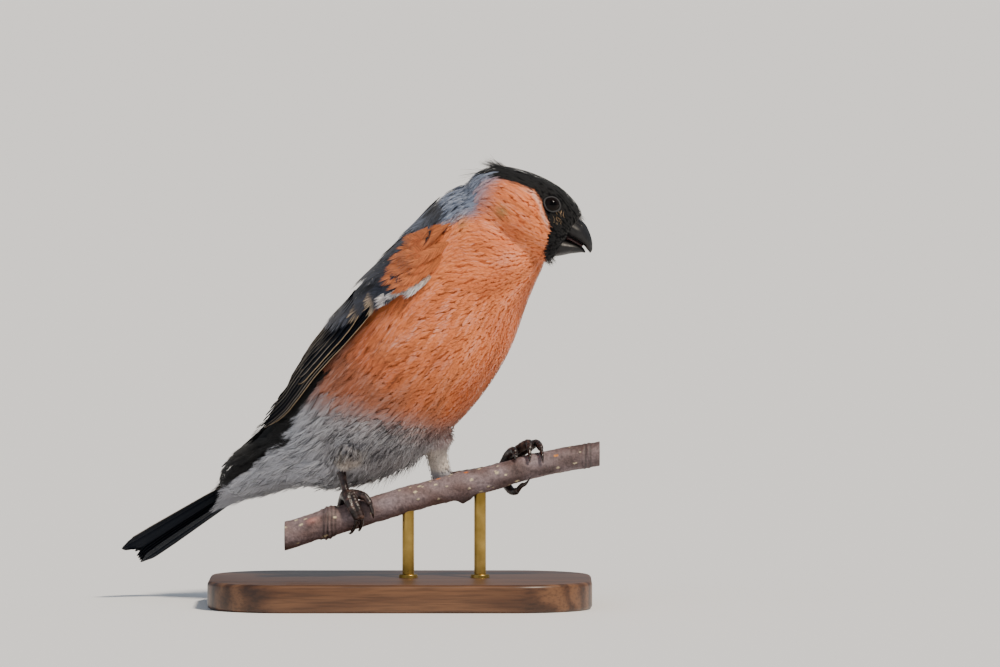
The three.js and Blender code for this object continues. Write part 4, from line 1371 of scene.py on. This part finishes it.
lid_skin, tree, shader = new_material("bare grey skin of the lid", Roughness=0.55)
wrinkles = noise_of(tree, 0.3, 4.0, space="Generated")
colour_by(shader, painted(tree), mapped(tree, wrinkles, 0.5, 1.4))
bump_by(shader, wrinkles, 0.05)


def eye_piece(side, word):
    centre, axes = eye_axes(side)

    def place(fraction, degrees):
        polar, round_axis = fraction * math.pi, np.radians(degrees)
        bulge = EYE_RADIUS + 0.12 * step(0.9, 0.2, polar)
        ball = np.stack([np.sin(polar) * np.cos(round_axis), np.cos(polar),
                         np.sin(polar) * np.sin(round_axis)], -1) * bulge[:, None]
        return head_point(ball @ axes.T + centre)

    made = drawn_ball(f"eyeball_{word}", 48, 36, place)
    ball = (head_place(read_points(made)) - centre) @ axes
    off_axis = np.degrees(np.arctan2(np.hypot(ball[:, 0], ball[:, 2]), ball[:, 1]))
    iris = step(20, 24, off_axis) * step(62, 44, off_axis)
    black, brown = (rgb(code) for code in ("#030203", "#0e0705"))
    paint(made, black + (brown - black) * iris[:, None])
    return made


def lid_piece(side, word):
    deselect_all()
    bpy.ops.mesh.primitive_torus_add(major_segments=72, minor_segments=14,
                                     major_radius=LID_RADIUS * MM, minor_radius=LID_THICKNESS * MM)
    made = bpy.context.object
    made.name = f"eyelid_{word}"
    ring = read_points(made)
    round_axis = np.arctan2(ring[:, 1], ring[:, 0])
    from_axis = np.hypot(ring[:, 0], ring[:, 1])
    corner = 0.28 * np.abs(np.cos(round_axis)) ** 6
    crumple = 0.04 * np.sin(26 * round_axis) + 0.03 * np.sin(41 * round_axis + 1)
    out = from_axis + corner + crumple
    centre, axes = eye_axes(side)
    places = np.stack([out * np.cos(round_axis), ring[:, 2] * 0.9 + 1.28 - 0.35 * corner,
                       out * np.sin(round_axis) * 0.97], -1)
    write_points(made, head_point(places @ axes.T + centre))
    dark, pale = (rgb(code) for code in ("#060607", "#2d2d31"))
    crest = np.exp(-((from_axis - LID_RADIUS - 0.12) / 0.1) ** 2)
    paint(made, dark + (pale - dark) * crest[:, None])
    face_outwards()
    return made


for side, word in ((-1, "right"), (1, "left")):
    dress(eye_piece(side, word), cornea, "eye", f"eye_{word}")
    dress(lid_piece(side, word), lid_skin, "black_plumage")

# %% [markdown]
# The bill is short, deep and rounded, with a curved ridge along its top and sharp cutting
# edges. Its horn is black and worn to a satin gloss. Each half is a ball drawn out through
# the CAD's stations, and its cross section is pinched to a ridge along the top.

# %% Bill
UPPER_BILL = np.array([  # head x, top, bottom, half width
    (12.6, 6.3, 0.9, 4.5), (13.3, 6.2, 0.8, 4.4), (14.8, 5.95, 1.05, 4.0), (16.2, 5.2, 1.3, 3.3),
    (17.6, 4.2, 1.3, 2.4), (18.8, 3.0, 0.9, 1.45), (19.8, 1.5, 0.6, 0.4)])
LOWER_BILL = np.array([
    (12.4, 0.5, -4.9, 4.3), (13.3, 0.6, -4.5, 4.2), (14.4, 0.8, -3.5, 3.8),
    (15.6, 0.95, -2.3, 3.2), (16.8, 0.9, -1.3, 2.4), (17.9, 0.6, -0.4, 1.4),
    (18.6, 0.2, -0.1, 0.5)])
TONGUE = np.array([
    (11.5, 1.5, 0.0, 2.2), (13.5, 1.7, 0.2, 2.3), (15.0, 1.7, 0.3, 1.9), (16.3, 1.5, 0.5, 1.2),
    (17.2, 1.3, 0.7, 0.5)])
NOSTRIL = np.array([14.3, 2.7, 5.2])


def bill_point(stations, ridge):
    def place(fraction, degrees):
        places = head_section(stations, fraction, degrees)
        middle = head_section(stations, fraction, degrees * 0)
        middle[:, 2] = np.interp(places[:, 0], stations[:, 0],
                                 (stations[:, 1] + stations[:, 2]) / 2)
        angle = np.radians(degrees)
        places[:, 1] *= 1 - ridge * np.cos(angle) ** 2 * (np.cos(angle) > 0)
        places = middle + (places - middle) * round_end(fraction, 0.04)[:, None]
        for side in (-1, 1):
            apart = np.linalg.norm(places - NOSTRIL * [1, side, 1], axis=1)
            places[:, 1] -= side * 0.45 * np.exp(-(apart / 0.5) ** 2)
        return head_point(places)
    return place


horn, tree, shader = new_material("black satin horn of the bill", Roughness=0.4,
                                  Specular_IOR_Level=0.4)
colour_by(shader, ramp(tree, noise_of(tree, 1.6, 6.0), (0.35, "#08080a"), (0.6, "#151417"),
                       (0.78, "#2f2b2a")))
scuffs = noise_of(tree, 0.35, 5.0)
wear_by(shader, scuffs, 0.3, 0.6)
bump_by(shader, scuffs, 0.03, 0.5)

tongue_flesh, tree, shader = new_material("moist flesh of the tongue", Roughness=0.35)
colour_by(shader, ramp(tree, noise_of(tree, 0.6, 2.0, space="Generated"), (0.3, "#2d1a1c"),
                       (0.7, "#4e2f30")))

for name, stations, ridge, finish, nodes in (
        ("mandible_upper", UPPER_BILL, 0.35, horn, ["bill_upper"]),
        ("mandible_lower", LOWER_BILL, 0.0, horn, ["bill_lower"]),
        ("tongue", TONGUE, 0.0, tongue_flesh, [])):
    dress(drawn_ball(name, 64, 72, bill_point(stations, ridge)), finish, "bill", *nodes)

# %% [markdown]
# The branch comes next, because the toes are bent round it. A young branch has thin smooth
# bark, grey-brown with a violet cast, dotted with pale breathing pores. Rings of wrinkles
# mark where a bud once ended a year's growth, and a small horn underneath is a leaf scar.
# A ball is drawn out along the branch; its first and last rings make the two sawn ends.

# %% Branch
PERCH = np.array([  # x, z
    (-40, 15.5), (-28.25, 17.6), (-19.5, 20.4), (-13.75, 21.9), (0, 26.1), (10, 28.8),
    (21.5, 31.6), (32.25, 34.7), (43.25, 37.0), (54, 38.6)])
PERCH_FROM, PERCH_TO = -29, 50
PERCH_RADIUS = 3.4
perch_path = smooth_path(np.column_stack([PERCH[:, 0], 0 * PERCH[:, 0], PERCH[:, 1]]),
                         np.linspace(0, len(PERCH) - 1, 800))
KNOBS = {  # height, x, degrees, length, width
    "leaf scar": (1.15, 15.9, 172, 1.3, 1.2),
    "its foot": (0.5, 17.6, 176, 0.7, 1.6),
    "bud": (0.9, -22.6, 62, 1.7, 0.9),
}
WRINKLES = ((-19.6, 0.2), (-18.6, 0.34), (-17.6, 0.3), (-16.7, 0.18), (46.0, 0.16), (47.2, 0.2))
SPECKS = [((9.5, 20), "#c8702c"), ((16.5, 25), "#b9652c"), ((39, 60), "#c07a34")]


def perch_centre(x):
    return np.stack([x, 0 * x, np.interp(x, perch_path[:, 0], perch_path[:, 2])], -1)


def perch_radius(x):
    ring = 0.45 * np.exp(-((x + 18) / 1.4) ** 2)
    return PERCH_RADIUS * (1 - 0.0022 * x) + ring + 0.2 * np.exp(-((x - 15.5) / 2.2) ** 2)


def round_perch(x, degrees, clearance):
    """A point beside the branch: 0 degrees is its top and 90 faces the viewer."""
    x, degrees = np.asarray(x, float), np.radians(np.asarray(degrees, float))
    radius = perch_radius(x) + clearance
    return perch_centre(x) + np.stack(
        [0 * x, -radius * np.sin(degrees), radius * np.cos(degrees)], -1)


def spots(x, degrees, centres, length, width):
    """How far each point lies inside any of the spots, from 0 to 1."""
    found = np.zeros(len(x))
    for cx, ca, size in centres:
        across = (degrees - ca + 180) % 360 - 180
        away = ((x - cx) / length) ** 2 + (np.radians(across) * PERCH_RADIUS / width) ** 2
        found = np.maximum(found, np.exp(-away / size ** 2))
    return found


rng = np.random.default_rng(17)
pores = [(rng.uniform(PERCH_FROM, PERCH_TO), rng.uniform(-180, 180), rng.uniform(0.6, 1.4))
         for _ in range(95)]
FACE_RINGS = 0.045  # the share of the rings that makes each sawn end


def branch_place(fraction, degrees):
    inner = np.clip((fraction - FACE_RINGS) / (1 - 2 * FACE_RINGS), 0, 1)
    x = PERCH_FROM + (PERCH_TO - PERCH_FROM) * inner
    near = np.minimum(fraction, 1 - fraction)
    share = np.clip(near / FACE_RINGS, 0, 1)
    point = round_perch(x, degrees, 0.0)
    relief = np.zeros(len(x))
    for cx, height in WRINKLES:
        wave = cx + 0.25 * np.sin(np.radians(degrees) * 2 + cx)
        relief += height * np.exp(-((x - wave) / 0.3) ** 2)
    relief += 0.1 * spots(x, degrees, pores, 0.45, 0.3)
    relief += 0.09 * clouds(point * [0.35, 1, 1], 1.6, 2.0)
    relief += 0.05 * clouds(point, 0.7, 5.0)
    for height, cx, ca, length, width in KNOBS.values():
        relief += height * spots(x, degrees, [(cx, ca, 1)], length, width)
    centre = perch_centre(x)
    rim = unit(point - centre) * (perch_radius(x) + relief)[:, None]
    return centre + rim * share[:, None]


branch = drawn_ball("branch", 96, 330, branch_place)
points = read_points(branch)
x = points[:, 0]
from_centre = points - perch_centre(x)
degrees = np.degrees(np.arctan2(-from_centre[:, 1], from_centre[:, 2]))
reach = np.linalg.norm(from_centre, axis=1) / perch_radius(x)
bark = {name: rgb(code) for name, code in {
    "grey": "#85767a", "brown": "#6b5450", "dark": "#2f2526", "pore": "#cdbf9c",
    "bud": "#9c6a63", "wood": "#cdb184", "late wood": "#9c7a4e", "pith": "#7d5a3a"}.items()}
mottling = clouds(points * [0.5, 1, 1], 3.0, 1.0)
tint = blended(bark["grey"][None], bark["brown"], np.clip(0.5 + 0.5 * mottling, 0, 1))
tint = blended(tint, bark["dark"], 0.45 * np.clip(clouds(points, 0.9, 8.0), 0, 1))
# painted shade: the bark darkens towards the right end, as if that end lay in shadow
shaded_right_end = 0.5 * step(5, 35, x) * np.clip(0.6 + 0.8 * mottling, 0, 1)
tint = blended(tint, bark["dark"], shaded_right_end)
rings = sum(np.exp(-((x - cx - 0.45) / 0.3) ** 2) for cx, _ in WRINKLES)
tint = blended(tint, bark["dark"], 0.8 * np.clip(rings, 0, 1))
tint = blended(tint, bark["dark"], 0.9 * spots(x, degrees, [(16.2, 175, 1)], 2.4, 1.7))
tint = blended(tint, bark["bud"], spots(x, degrees, [(-22.2, 60, 1)], 1.4, 0.7))
tint = blended(tint, bark["pore"], step(0.35, 0.6, spots(x, degrees, pores, 0.42, 0.28)))
for (cx, ca), code in SPECKS:
    speck = step(0.3, 0.5, spots(x, degrees, [(cx, ca, 1)], 0.6, 0.4))
    tint = blended(tint, rgb(code), speck)
sawn = (reach < 0.93) & ((x < PERCH_FROM + 0.2) | (x > PERCH_TO - 0.2))
growth = 0.5 + 0.5 * np.sin(reach * 30)
wood = blended(bark["wood"][None], bark["late wood"], growth)
wood = blended(wood, bark["pith"], step(0.16, 0.08, reach))
tint = np.where(sawn[:, None], wood, tint)
paint(branch, tint, "bark")

branch_bark, tree, shader = new_material("thin smooth bark", Roughness=0.62)
grain = noise_of(tree, 0.45, 6.0)
colour_by(shader, painted(tree, "bark"), mapped(tree, grain, 0.72, 1.25, 0.3, 0.7))
bump_by(shader, grain, 0.12, 0.8)
dress(branch, branch_bark, "bark", "perch")

# %% [markdown]
# A songbird's leg below its feathers is bone and tendon in a tight horny skin. Broad plates,
# the scutes, overlap down its front and over the top of each toe, and the soles are rough
# pads. Each toe is a ball drawn out round the branch. Its radius rises and falls with the
# pads and steps up at each scute, so the plates are real edges that catch the light.

# %% Legs and feet
GAP = 0.3  # air between toes and bark
TOE_RADII = (1.2, 1.0, 0.8)
FOOT_GRAIN = 0.17  # edge length of the remeshed feet
LEGS = {  # toes run in x, degrees round the branch and lift off it, and end in a claw's tip
    "right": {
        "heel": (-14.8, 0.8, 33.7), "joint": (-13.5, -2.2, 27.9),
        "toes": [([(-13.2, 34, 1.0), (-12.0, 68, 0.3), (-10.6, 106, 0.1)], (-13.0, 176)),
                 ([(-12.4, 26, 1.0), (-10.8, 64, 0.4), (-9.3, 108, 0.1)], (-10.6, 172)),
                 ([(-11.6, 20, 0.9), (-8.9, 40, 0.6), (-7.2, 74, 0.2)], (-6.6, 122)),
                 ([(-14.2, -24, 0.8), (-15.2, -66, 0.3), (-15.8, -100, 0.1)], (-16.4, -155))]},
    "left": {
        "heel": (9.6, 8.6, 31.4), "joint": (25.6, 5.4, 34.5),
        "toes": [([(27.2, -36, 0.8), (28.4, -8, 0.7), (28.9, 16, 0.3)], (29.0, 46)),
                 ([(29.4, -34, 1.2), (32.2, -6, 1.5), (32.4, 30, 0.6)], (32.5, 71)),
                 ([(29.8, -50, 1.0), (33.9, -14, 1.2), (35.4, 34, 0.5)], (35.8, 87)),
                 ([(26.2, -112, 0.7), (27.8, -150, 1.0), (29.6, -182, 1.0)], (32.7, -226))]},
}


def scuted(path, radii, plates, outward, pads=0.0):
    """A horny limb: plates counts its scutes, outward points away from what it grips."""
    path = np.asarray(path, float)

    def place(fraction, degrees):
        centre, along = along_curve(path, fraction)
        top = square_to(outward(centre), along)
        angle = np.radians(degrees)
        radius = np.interp(fraction, np.linspace(0, 1, len(radii)), radii)
        plate = fraction * plates % 1
        facing = step(-0.3, 0.4, np.cos(angle))
        radius = radius * (1 + 0.13 * (plate ** 2 - 0.3) * facing)
        sole = step(0.2, -0.6, np.cos(angle))
        radius = radius * (1 + pads * np.sin(fraction * math.pi * 4.5) * sole)
        radius = radius + 0.05 * sole * np.sin(fraction * 60) * np.sin(3 * degrees / 20)
        side = np.cross(along, top)
        ring = np.cos(angle)[:, None] * top * 1.05 + np.sin(angle)[:, None] * side * 0.95
        return centre + (radius * round_end(fraction, 0.09))[:, None] * ring
    return place


def off_perch(points):
    return unit(points - perch_centre(points[:, 0]))


def toe_path(leg, toe):
    points = [round_perch(x, degrees, TOE_RADII[i] + GAP + lift)
              for i, (x, degrees, lift) in enumerate(toe[0])]
    return np.array([leg["joint"], *points])


def foot_piece(word):
    leg = LEGS[word]
    parts = [drawn_ball("toe", 20, 70, scuted(
        toe_path(leg, toe), (1.3, *TOE_RADII), plates=13, outward=off_perch, pads=0.1))
        for toe in leg["toes"]]
    heel, joint = np.array(leg["heel"]), np.array(leg["joint"])
    front = np.array([0.3, -1.0, 0.2]) if word == "right" else np.array([0.2, -0.2, 1.0])
    shank = heel + (joint - heel) * np.linspace(0.0, 1.05, 5)[:, None]
    parts.append(drawn_ball("shank", 24, 70, scuted(
        shank, (1.25, 1.05, 0.9, 0.92, 1.35), plates=9,
        outward=lambda points: np.broadcast_to(unit(front), points.shape))))
    foot = joined(f"foot_skin_{word}", parts)
    apply_modifier(foot, "REMESH", mode="VOXEL", voxel_size=FOOT_GRAIN * MM)
    apply_modifier(foot, "SMOOTH", factor=0.5, iterations=2)
    bpy.ops.object.shade_smooth()
    return foot


leg_horn, tree, shader = new_material("horny skin of the legs", Roughness=0.34,
                                      Specular_IOR_Level=0.5)
place = add_node(tree, "TexCoord").outputs["Object"]
cells = add_node(tree, "TexVoronoi", {"Vector": place, "Scale": 1 / (0.55 * MM)},
                 feature="DISTANCE_TO_EDGE")  # scales 0.55 mm across
tone = ramp(tree, noise_of(tree, 1.8, 5.0), (0.32, "#150f0f"), (0.52, "#2c1e1d"),
            (0.74, "#6f554c"))
crease = mapped(tree, cells.outputs["Distance"], 0.55, 1.0, 0.0, 0.12)
colour_by(shader, tone, crease)
bump_by(shader, crease, 0.06, 0.7)

for word in LEGS:
    dress(foot_piece(word), leg_horn, "leg_skin", f"foot_{word}", f"leg_{word}_tarsus")

# %% [markdown]
# Claws are curved cones of dark horn, flattened from side to side, with a groove below. Each
# grows out of the last scute and hooks round the bark.

# %% Claws
claw_horn, tree, shader = new_material("black horn of the claws", Roughness=0.25,
                                       Specular_IOR_Level=0.6)
colour_by(shader, ramp(tree, noise_of(tree, 0.5, 4.0, space="Generated"), (0.35, "#0f0c0c"),
                       (0.75, "#3a2c28")))


def claw_place(leg, toe):
    path = toe_path(leg, toe)
    last_x, last_degrees, _ = toe[0][-1]
    end_x, end_degrees = toe[1]
    bend = zip(last_x + (end_x - last_x) * np.array([0.25, 0.55, 0.8, 1.0]),
               last_degrees + (end_degrees - last_degrees) * np.array([0.22, 0.5, 0.76, 1.0]),
               (1.0, 1.1, 0.85, 0.4))  # the last is how high the claw stands off the bark
    points = np.array([path[-1] - 0.6 * unit(path[-1] - path[-2]),
                       *(round_perch(*bent) for bent in bend)])

    def place(fraction, degrees):
        centre, along = along_curve(points, fraction)
        top = square_to(off_perch(centre), along)
        angle = np.radians(degrees)
        radius = np.interp(fraction, [0, 0.25, 0.6, 1], [0.7, 0.66, 0.42, 0.07])
        ring = np.cos(angle)[:, None] * top + 0.72 * np.sin(angle)[:, None] * np.cross(along, top)
        return centre + (radius * round_end(fraction, 0.05))[:, None] * ring
    return place


for word, leg in LEGS.items():
    for i, toe in enumerate(leg["toes"], 1):
        claw = drawn_ball(f"claw_horn_{word}_{i}", 20, 40, claw_place(leg, toe))
        dress(claw, claw_horn, "claw", f"claw_{word}_{i}")

# %% [markdown]
# The stand is what a museum would turn out: a block of dark oiled walnut with rounded
# corners and an eased edge, and two brass rods let into it and into the branch. A cube and a
# cylinder are the natural starts. Bevels on their edges are what make them look made.

# %% Stand
BASE = (96, 66, 7)  # length, width and height
BASE_CORNER = 20
ROD_RADIUS = 1.5
ROD_PLACES = (2, 20)
ROD_BITE = 1.6  # how deep a rod goes into the branch
COLLAR_RADIUS = 2.4


def bevel(piece, width, segments, rule):
    """Bevels the edges whose two ends, in millimetres, fit the rule."""
    bpy.ops.object.mode_set(mode="EDIT")
    bpy.ops.mesh.select_mode(type="EDGE")
    bpy.ops.mesh.select_all(action="DESELECT")
    bpy.ops.object.mode_set(mode="OBJECT")
    for edge in piece.data.edges:
        a, b = (np.array(piece.data.vertices[k].co) / MM for k in edge.vertices)
        edge.select = bool(rule(a, b))
    bpy.ops.object.mode_set(mode="EDIT")
    bpy.ops.mesh.bevel(offset=width * MM, segments=segments, affect="EDGES")
    bpy.ops.object.mode_set(mode="OBJECT")


def cylinder(radius, x, low, high):
    """An upright cylinder below the branch's middle line."""
    bpy.ops.mesh.primitive_cylinder_add(vertices=48, radius=radius * MM, depth=MM)
    made = bpy.context.object
    ends = read_points(made)
    ends[:, 2] = np.where(ends[:, 2] > 0, high, low)
    write_points(made, ends + [x, 0, 0])
    return made


deselect_all()
bpy.ops.mesh.primitive_cube_add(size=1)
base = bpy.context.object
base.name = "walnut_base"
write_points(base, read_points(base) * MM * BASE + [0, 0, BASE[2] / 2])
bevel(base, BASE_CORNER, 20, lambda a, b: abs(a[2] - b[2]) > 1)
bevel(base, 1.0, 5, lambda a, b: a[2] == b[2])
bpy.ops.object.shade_smooth_by_angle(angle=math.radians(25))

walnut, tree, shader = new_material("oiled walnut", Roughness=0.38, Specular_IOR_Level=0.45)
place = add_node(tree, "TexCoord").outputs["Object"]
stretched = add_node(tree, "Mapping", {"Vector": place, "Scale": (0.1, 1.0, 1.0)})
grain = add_node(tree, "TexWave", {  # growth rings 14 mm apart, drawn out along the board
    "Vector": stretched.outputs["Vector"], "Scale": 1 / (14 * MM), "Distortion": 6.0,
    "Detail": 4.0, "Detail Scale": 1.5}, bands_direction="Y")
figure = noise_of(tree, 9, 4.0, (0.1, 1.0, 1.0), Distortion=0.6)
vessels = noise_of(tree, 0.6, 3.0, (0.06, 1.0, 1.0))
both = add_node(tree, "Math", {0: grain.outputs["Fac"], 1: 0.5, 2: figure},
                operation="MULTIPLY_ADD")
tone = ramp(tree, both.outputs[0], (0.35, "#2e1c12"), (0.7, "#4f3321"), (1.0, "#6b4a32"))
colour_by(shader, tone, mapped(tree, vessels, 0.7, 1.05, 0.35, 0.55))
bump_by(shader, vessels, 0.05, 0.4)
dress(base, walnut, "stand_wood", "stand_base")

brass, tree, shader = new_material("turned brass", Metallic=1.0, Roughness=0.3)
colour_by(shader, ramp(tree, noise_of(tree, 6, 4.0), (0.35, "#8f7436"), (0.7, "#c6a55c")))
wear_by(shader, noise_of(tree, 0.25, 3.0, (0.15, 0.15, 1.0)), 0.2, 0.45)  # the tool's marks

for i, x in enumerate(ROD_PLACES, 1):
    top = perch_centre(np.array([float(x)]))[0, 2] - perch_radius(x) + ROD_BITE
    deselect_all()
    rod = cylinder(ROD_RADIUS, x, BASE[2] - 1.0, top)
    collar = cylinder(COLLAR_RADIUS, x, BASE[2] - 0.5, BASE[2] + 0.9)
    bevel(collar, 0.35, 4, lambda a, b: min(a[2], b[2]) > BASE[2])
    rod = joined(f"brass_rod_{i}", [rod, collar])
    bpy.ops.object.shade_smooth_by_angle(angle=math.radians(30))
    dress(rod, brass, "stand_rod", f"stand_rod_{i}")

# %% [markdown]
# A few single hairs finish the coat. Stiff bristles stand round the gape and under the chin,
# tan specks dust the black in front of the eye, a few crown feathers stand off the nape, and
# loose ends of down hang below the belly. Each hair is one tapered ribbon.

# %% Single hairs
FACE_HAIRS = {  # count, roots from and to, direction (all in head axes), length, colour
    "gape": (34, (9.0, 5.2, 0.2), (10.8, 4.6, -3.5), (0.35, 0, -1.0), (1.4, 2.8), "#0b0b0e"),
    "chin": (40, (10.2, 0.5, -7.0), (11.8, 3.6, -5.0), (0.95, 0, -0.3), (0.8, 1.6), "#0c0c10"),
    "nostrils": (40, (11.6, 0.5, 4.0), (12.8, 3.6, 7.0), (1.0, 0, -0.3), (1.0, 1.8), "#151417"),
    "lores": (26, (6.9, 7.0, 2.0), (9.8, 5.0, 5.2), (-0.9, 0, 0.3), (0.7, 1.3), "#9c8263"),
    "crown": (120, (-11.5, 0.0, 6.4), (-8.5, 3.0, 8.0), (-1.0, 0, -0.12), (3.0, 6.0), "#0b0b0e"),
    "nape": (7, (-16.0, 0.0, 2.0), (-12.0, 3.0, 4.5), (-0.84, 0, -0.45), (5.0, 8.0), "#23242a"),
}


def hair_piece(name, places, ways, lengths, colours, slot, lift=0.6, width=0.09, start=0.3):
    """Single tapered hairs from places on the body, as one mesh."""
    rng = np.random.default_rng(len(places))
    place, out = on_skin(places)
    ways = unit(ways - 0.6 * (ways * out).sum(1, keepdims=True) * out)
    q = RIBBON_STEPS[None, :, None]
    bend = rng.normal(0, 0.12, (len(places), 1, 3))
    centre = place[:, None] + out[:, None] * (start + lift * q ** 1.5)
    centre = centre + (ways[:, None] * q + bend * q ** 2) * lengths[:, None, None]
    edge = unit(np.cross(out, ways) + rng.normal(0, 0.4, out.shape))[:, None]
    half = edge * (width / 2 * RIBBON_TAPER)[None, :, None]
    whole = np.ones((len(places), 1, len(RIBBON_STEPS)))
    barbs = {"left": (centre + half)[:, None], "right": (centre - half)[:, None],
             "centre": centre[:, None], "normal": whole[..., None] * out[:, None, None],
             "t": whole * RIBBON_STEPS, "lateral": whole * 0}
    piece = ribbons_to_mesh(name, barbs, colours[:, None, None] * whole[..., None],
                            patches_at(unwrapped(place)))
    dress(piece, loose_keratin, slot)


rng = np.random.default_rng(23)
gathered_hairs = []
for side in (-1, 1):
    for count, start, end, way, span, code in FACE_HAIRS.values():
        start, end = np.array(start), np.array(end)
        roots_here = start + (end - start) * rng.random((count, 3))
        roots_here = head_point(roots_here * [1, side, 1])
        turned_way = np.array(way) @ HEAD_TURN.T + rng.normal(0, 0.2, (count, 3))
        colour = rgb(code) * rng.uniform(0.7, 1.2, (count, 1))
        gathered_hairs.append((roots_here, turned_way, rng.uniform(*span, count), colour))
hair_piece("face_hairs", *(np.concatenate(column) for column in zip(*gathered_hairs)),
           "black_plumage")

BELLY_HAIRS = 260
fringe_u = rng.uniform(0.40, 0.52, BELLY_HAIRS)
fringe = body_point(fringe_u, rng.uniform(140, 220, BELLY_HAIRS))
drop = -body_frame(fringe_u)[1] + [0, 0, -0.5] + rng.normal(0, 0.25, (BELLY_HAIRS, 3))
shade = rng.random((BELLY_HAIRS, 1))
colour = PLUMAGE["shaded belly"] * 0.6 * (1 - shade) + PLUMAGE["belly"] * shade
hair_piece("belly_hairs", fringe, drop, rng.uniform(2.5, 4.5, BELLY_HAIRS), colour,
           "pale_down", lift=1.4, width=0.1, start=0.8)
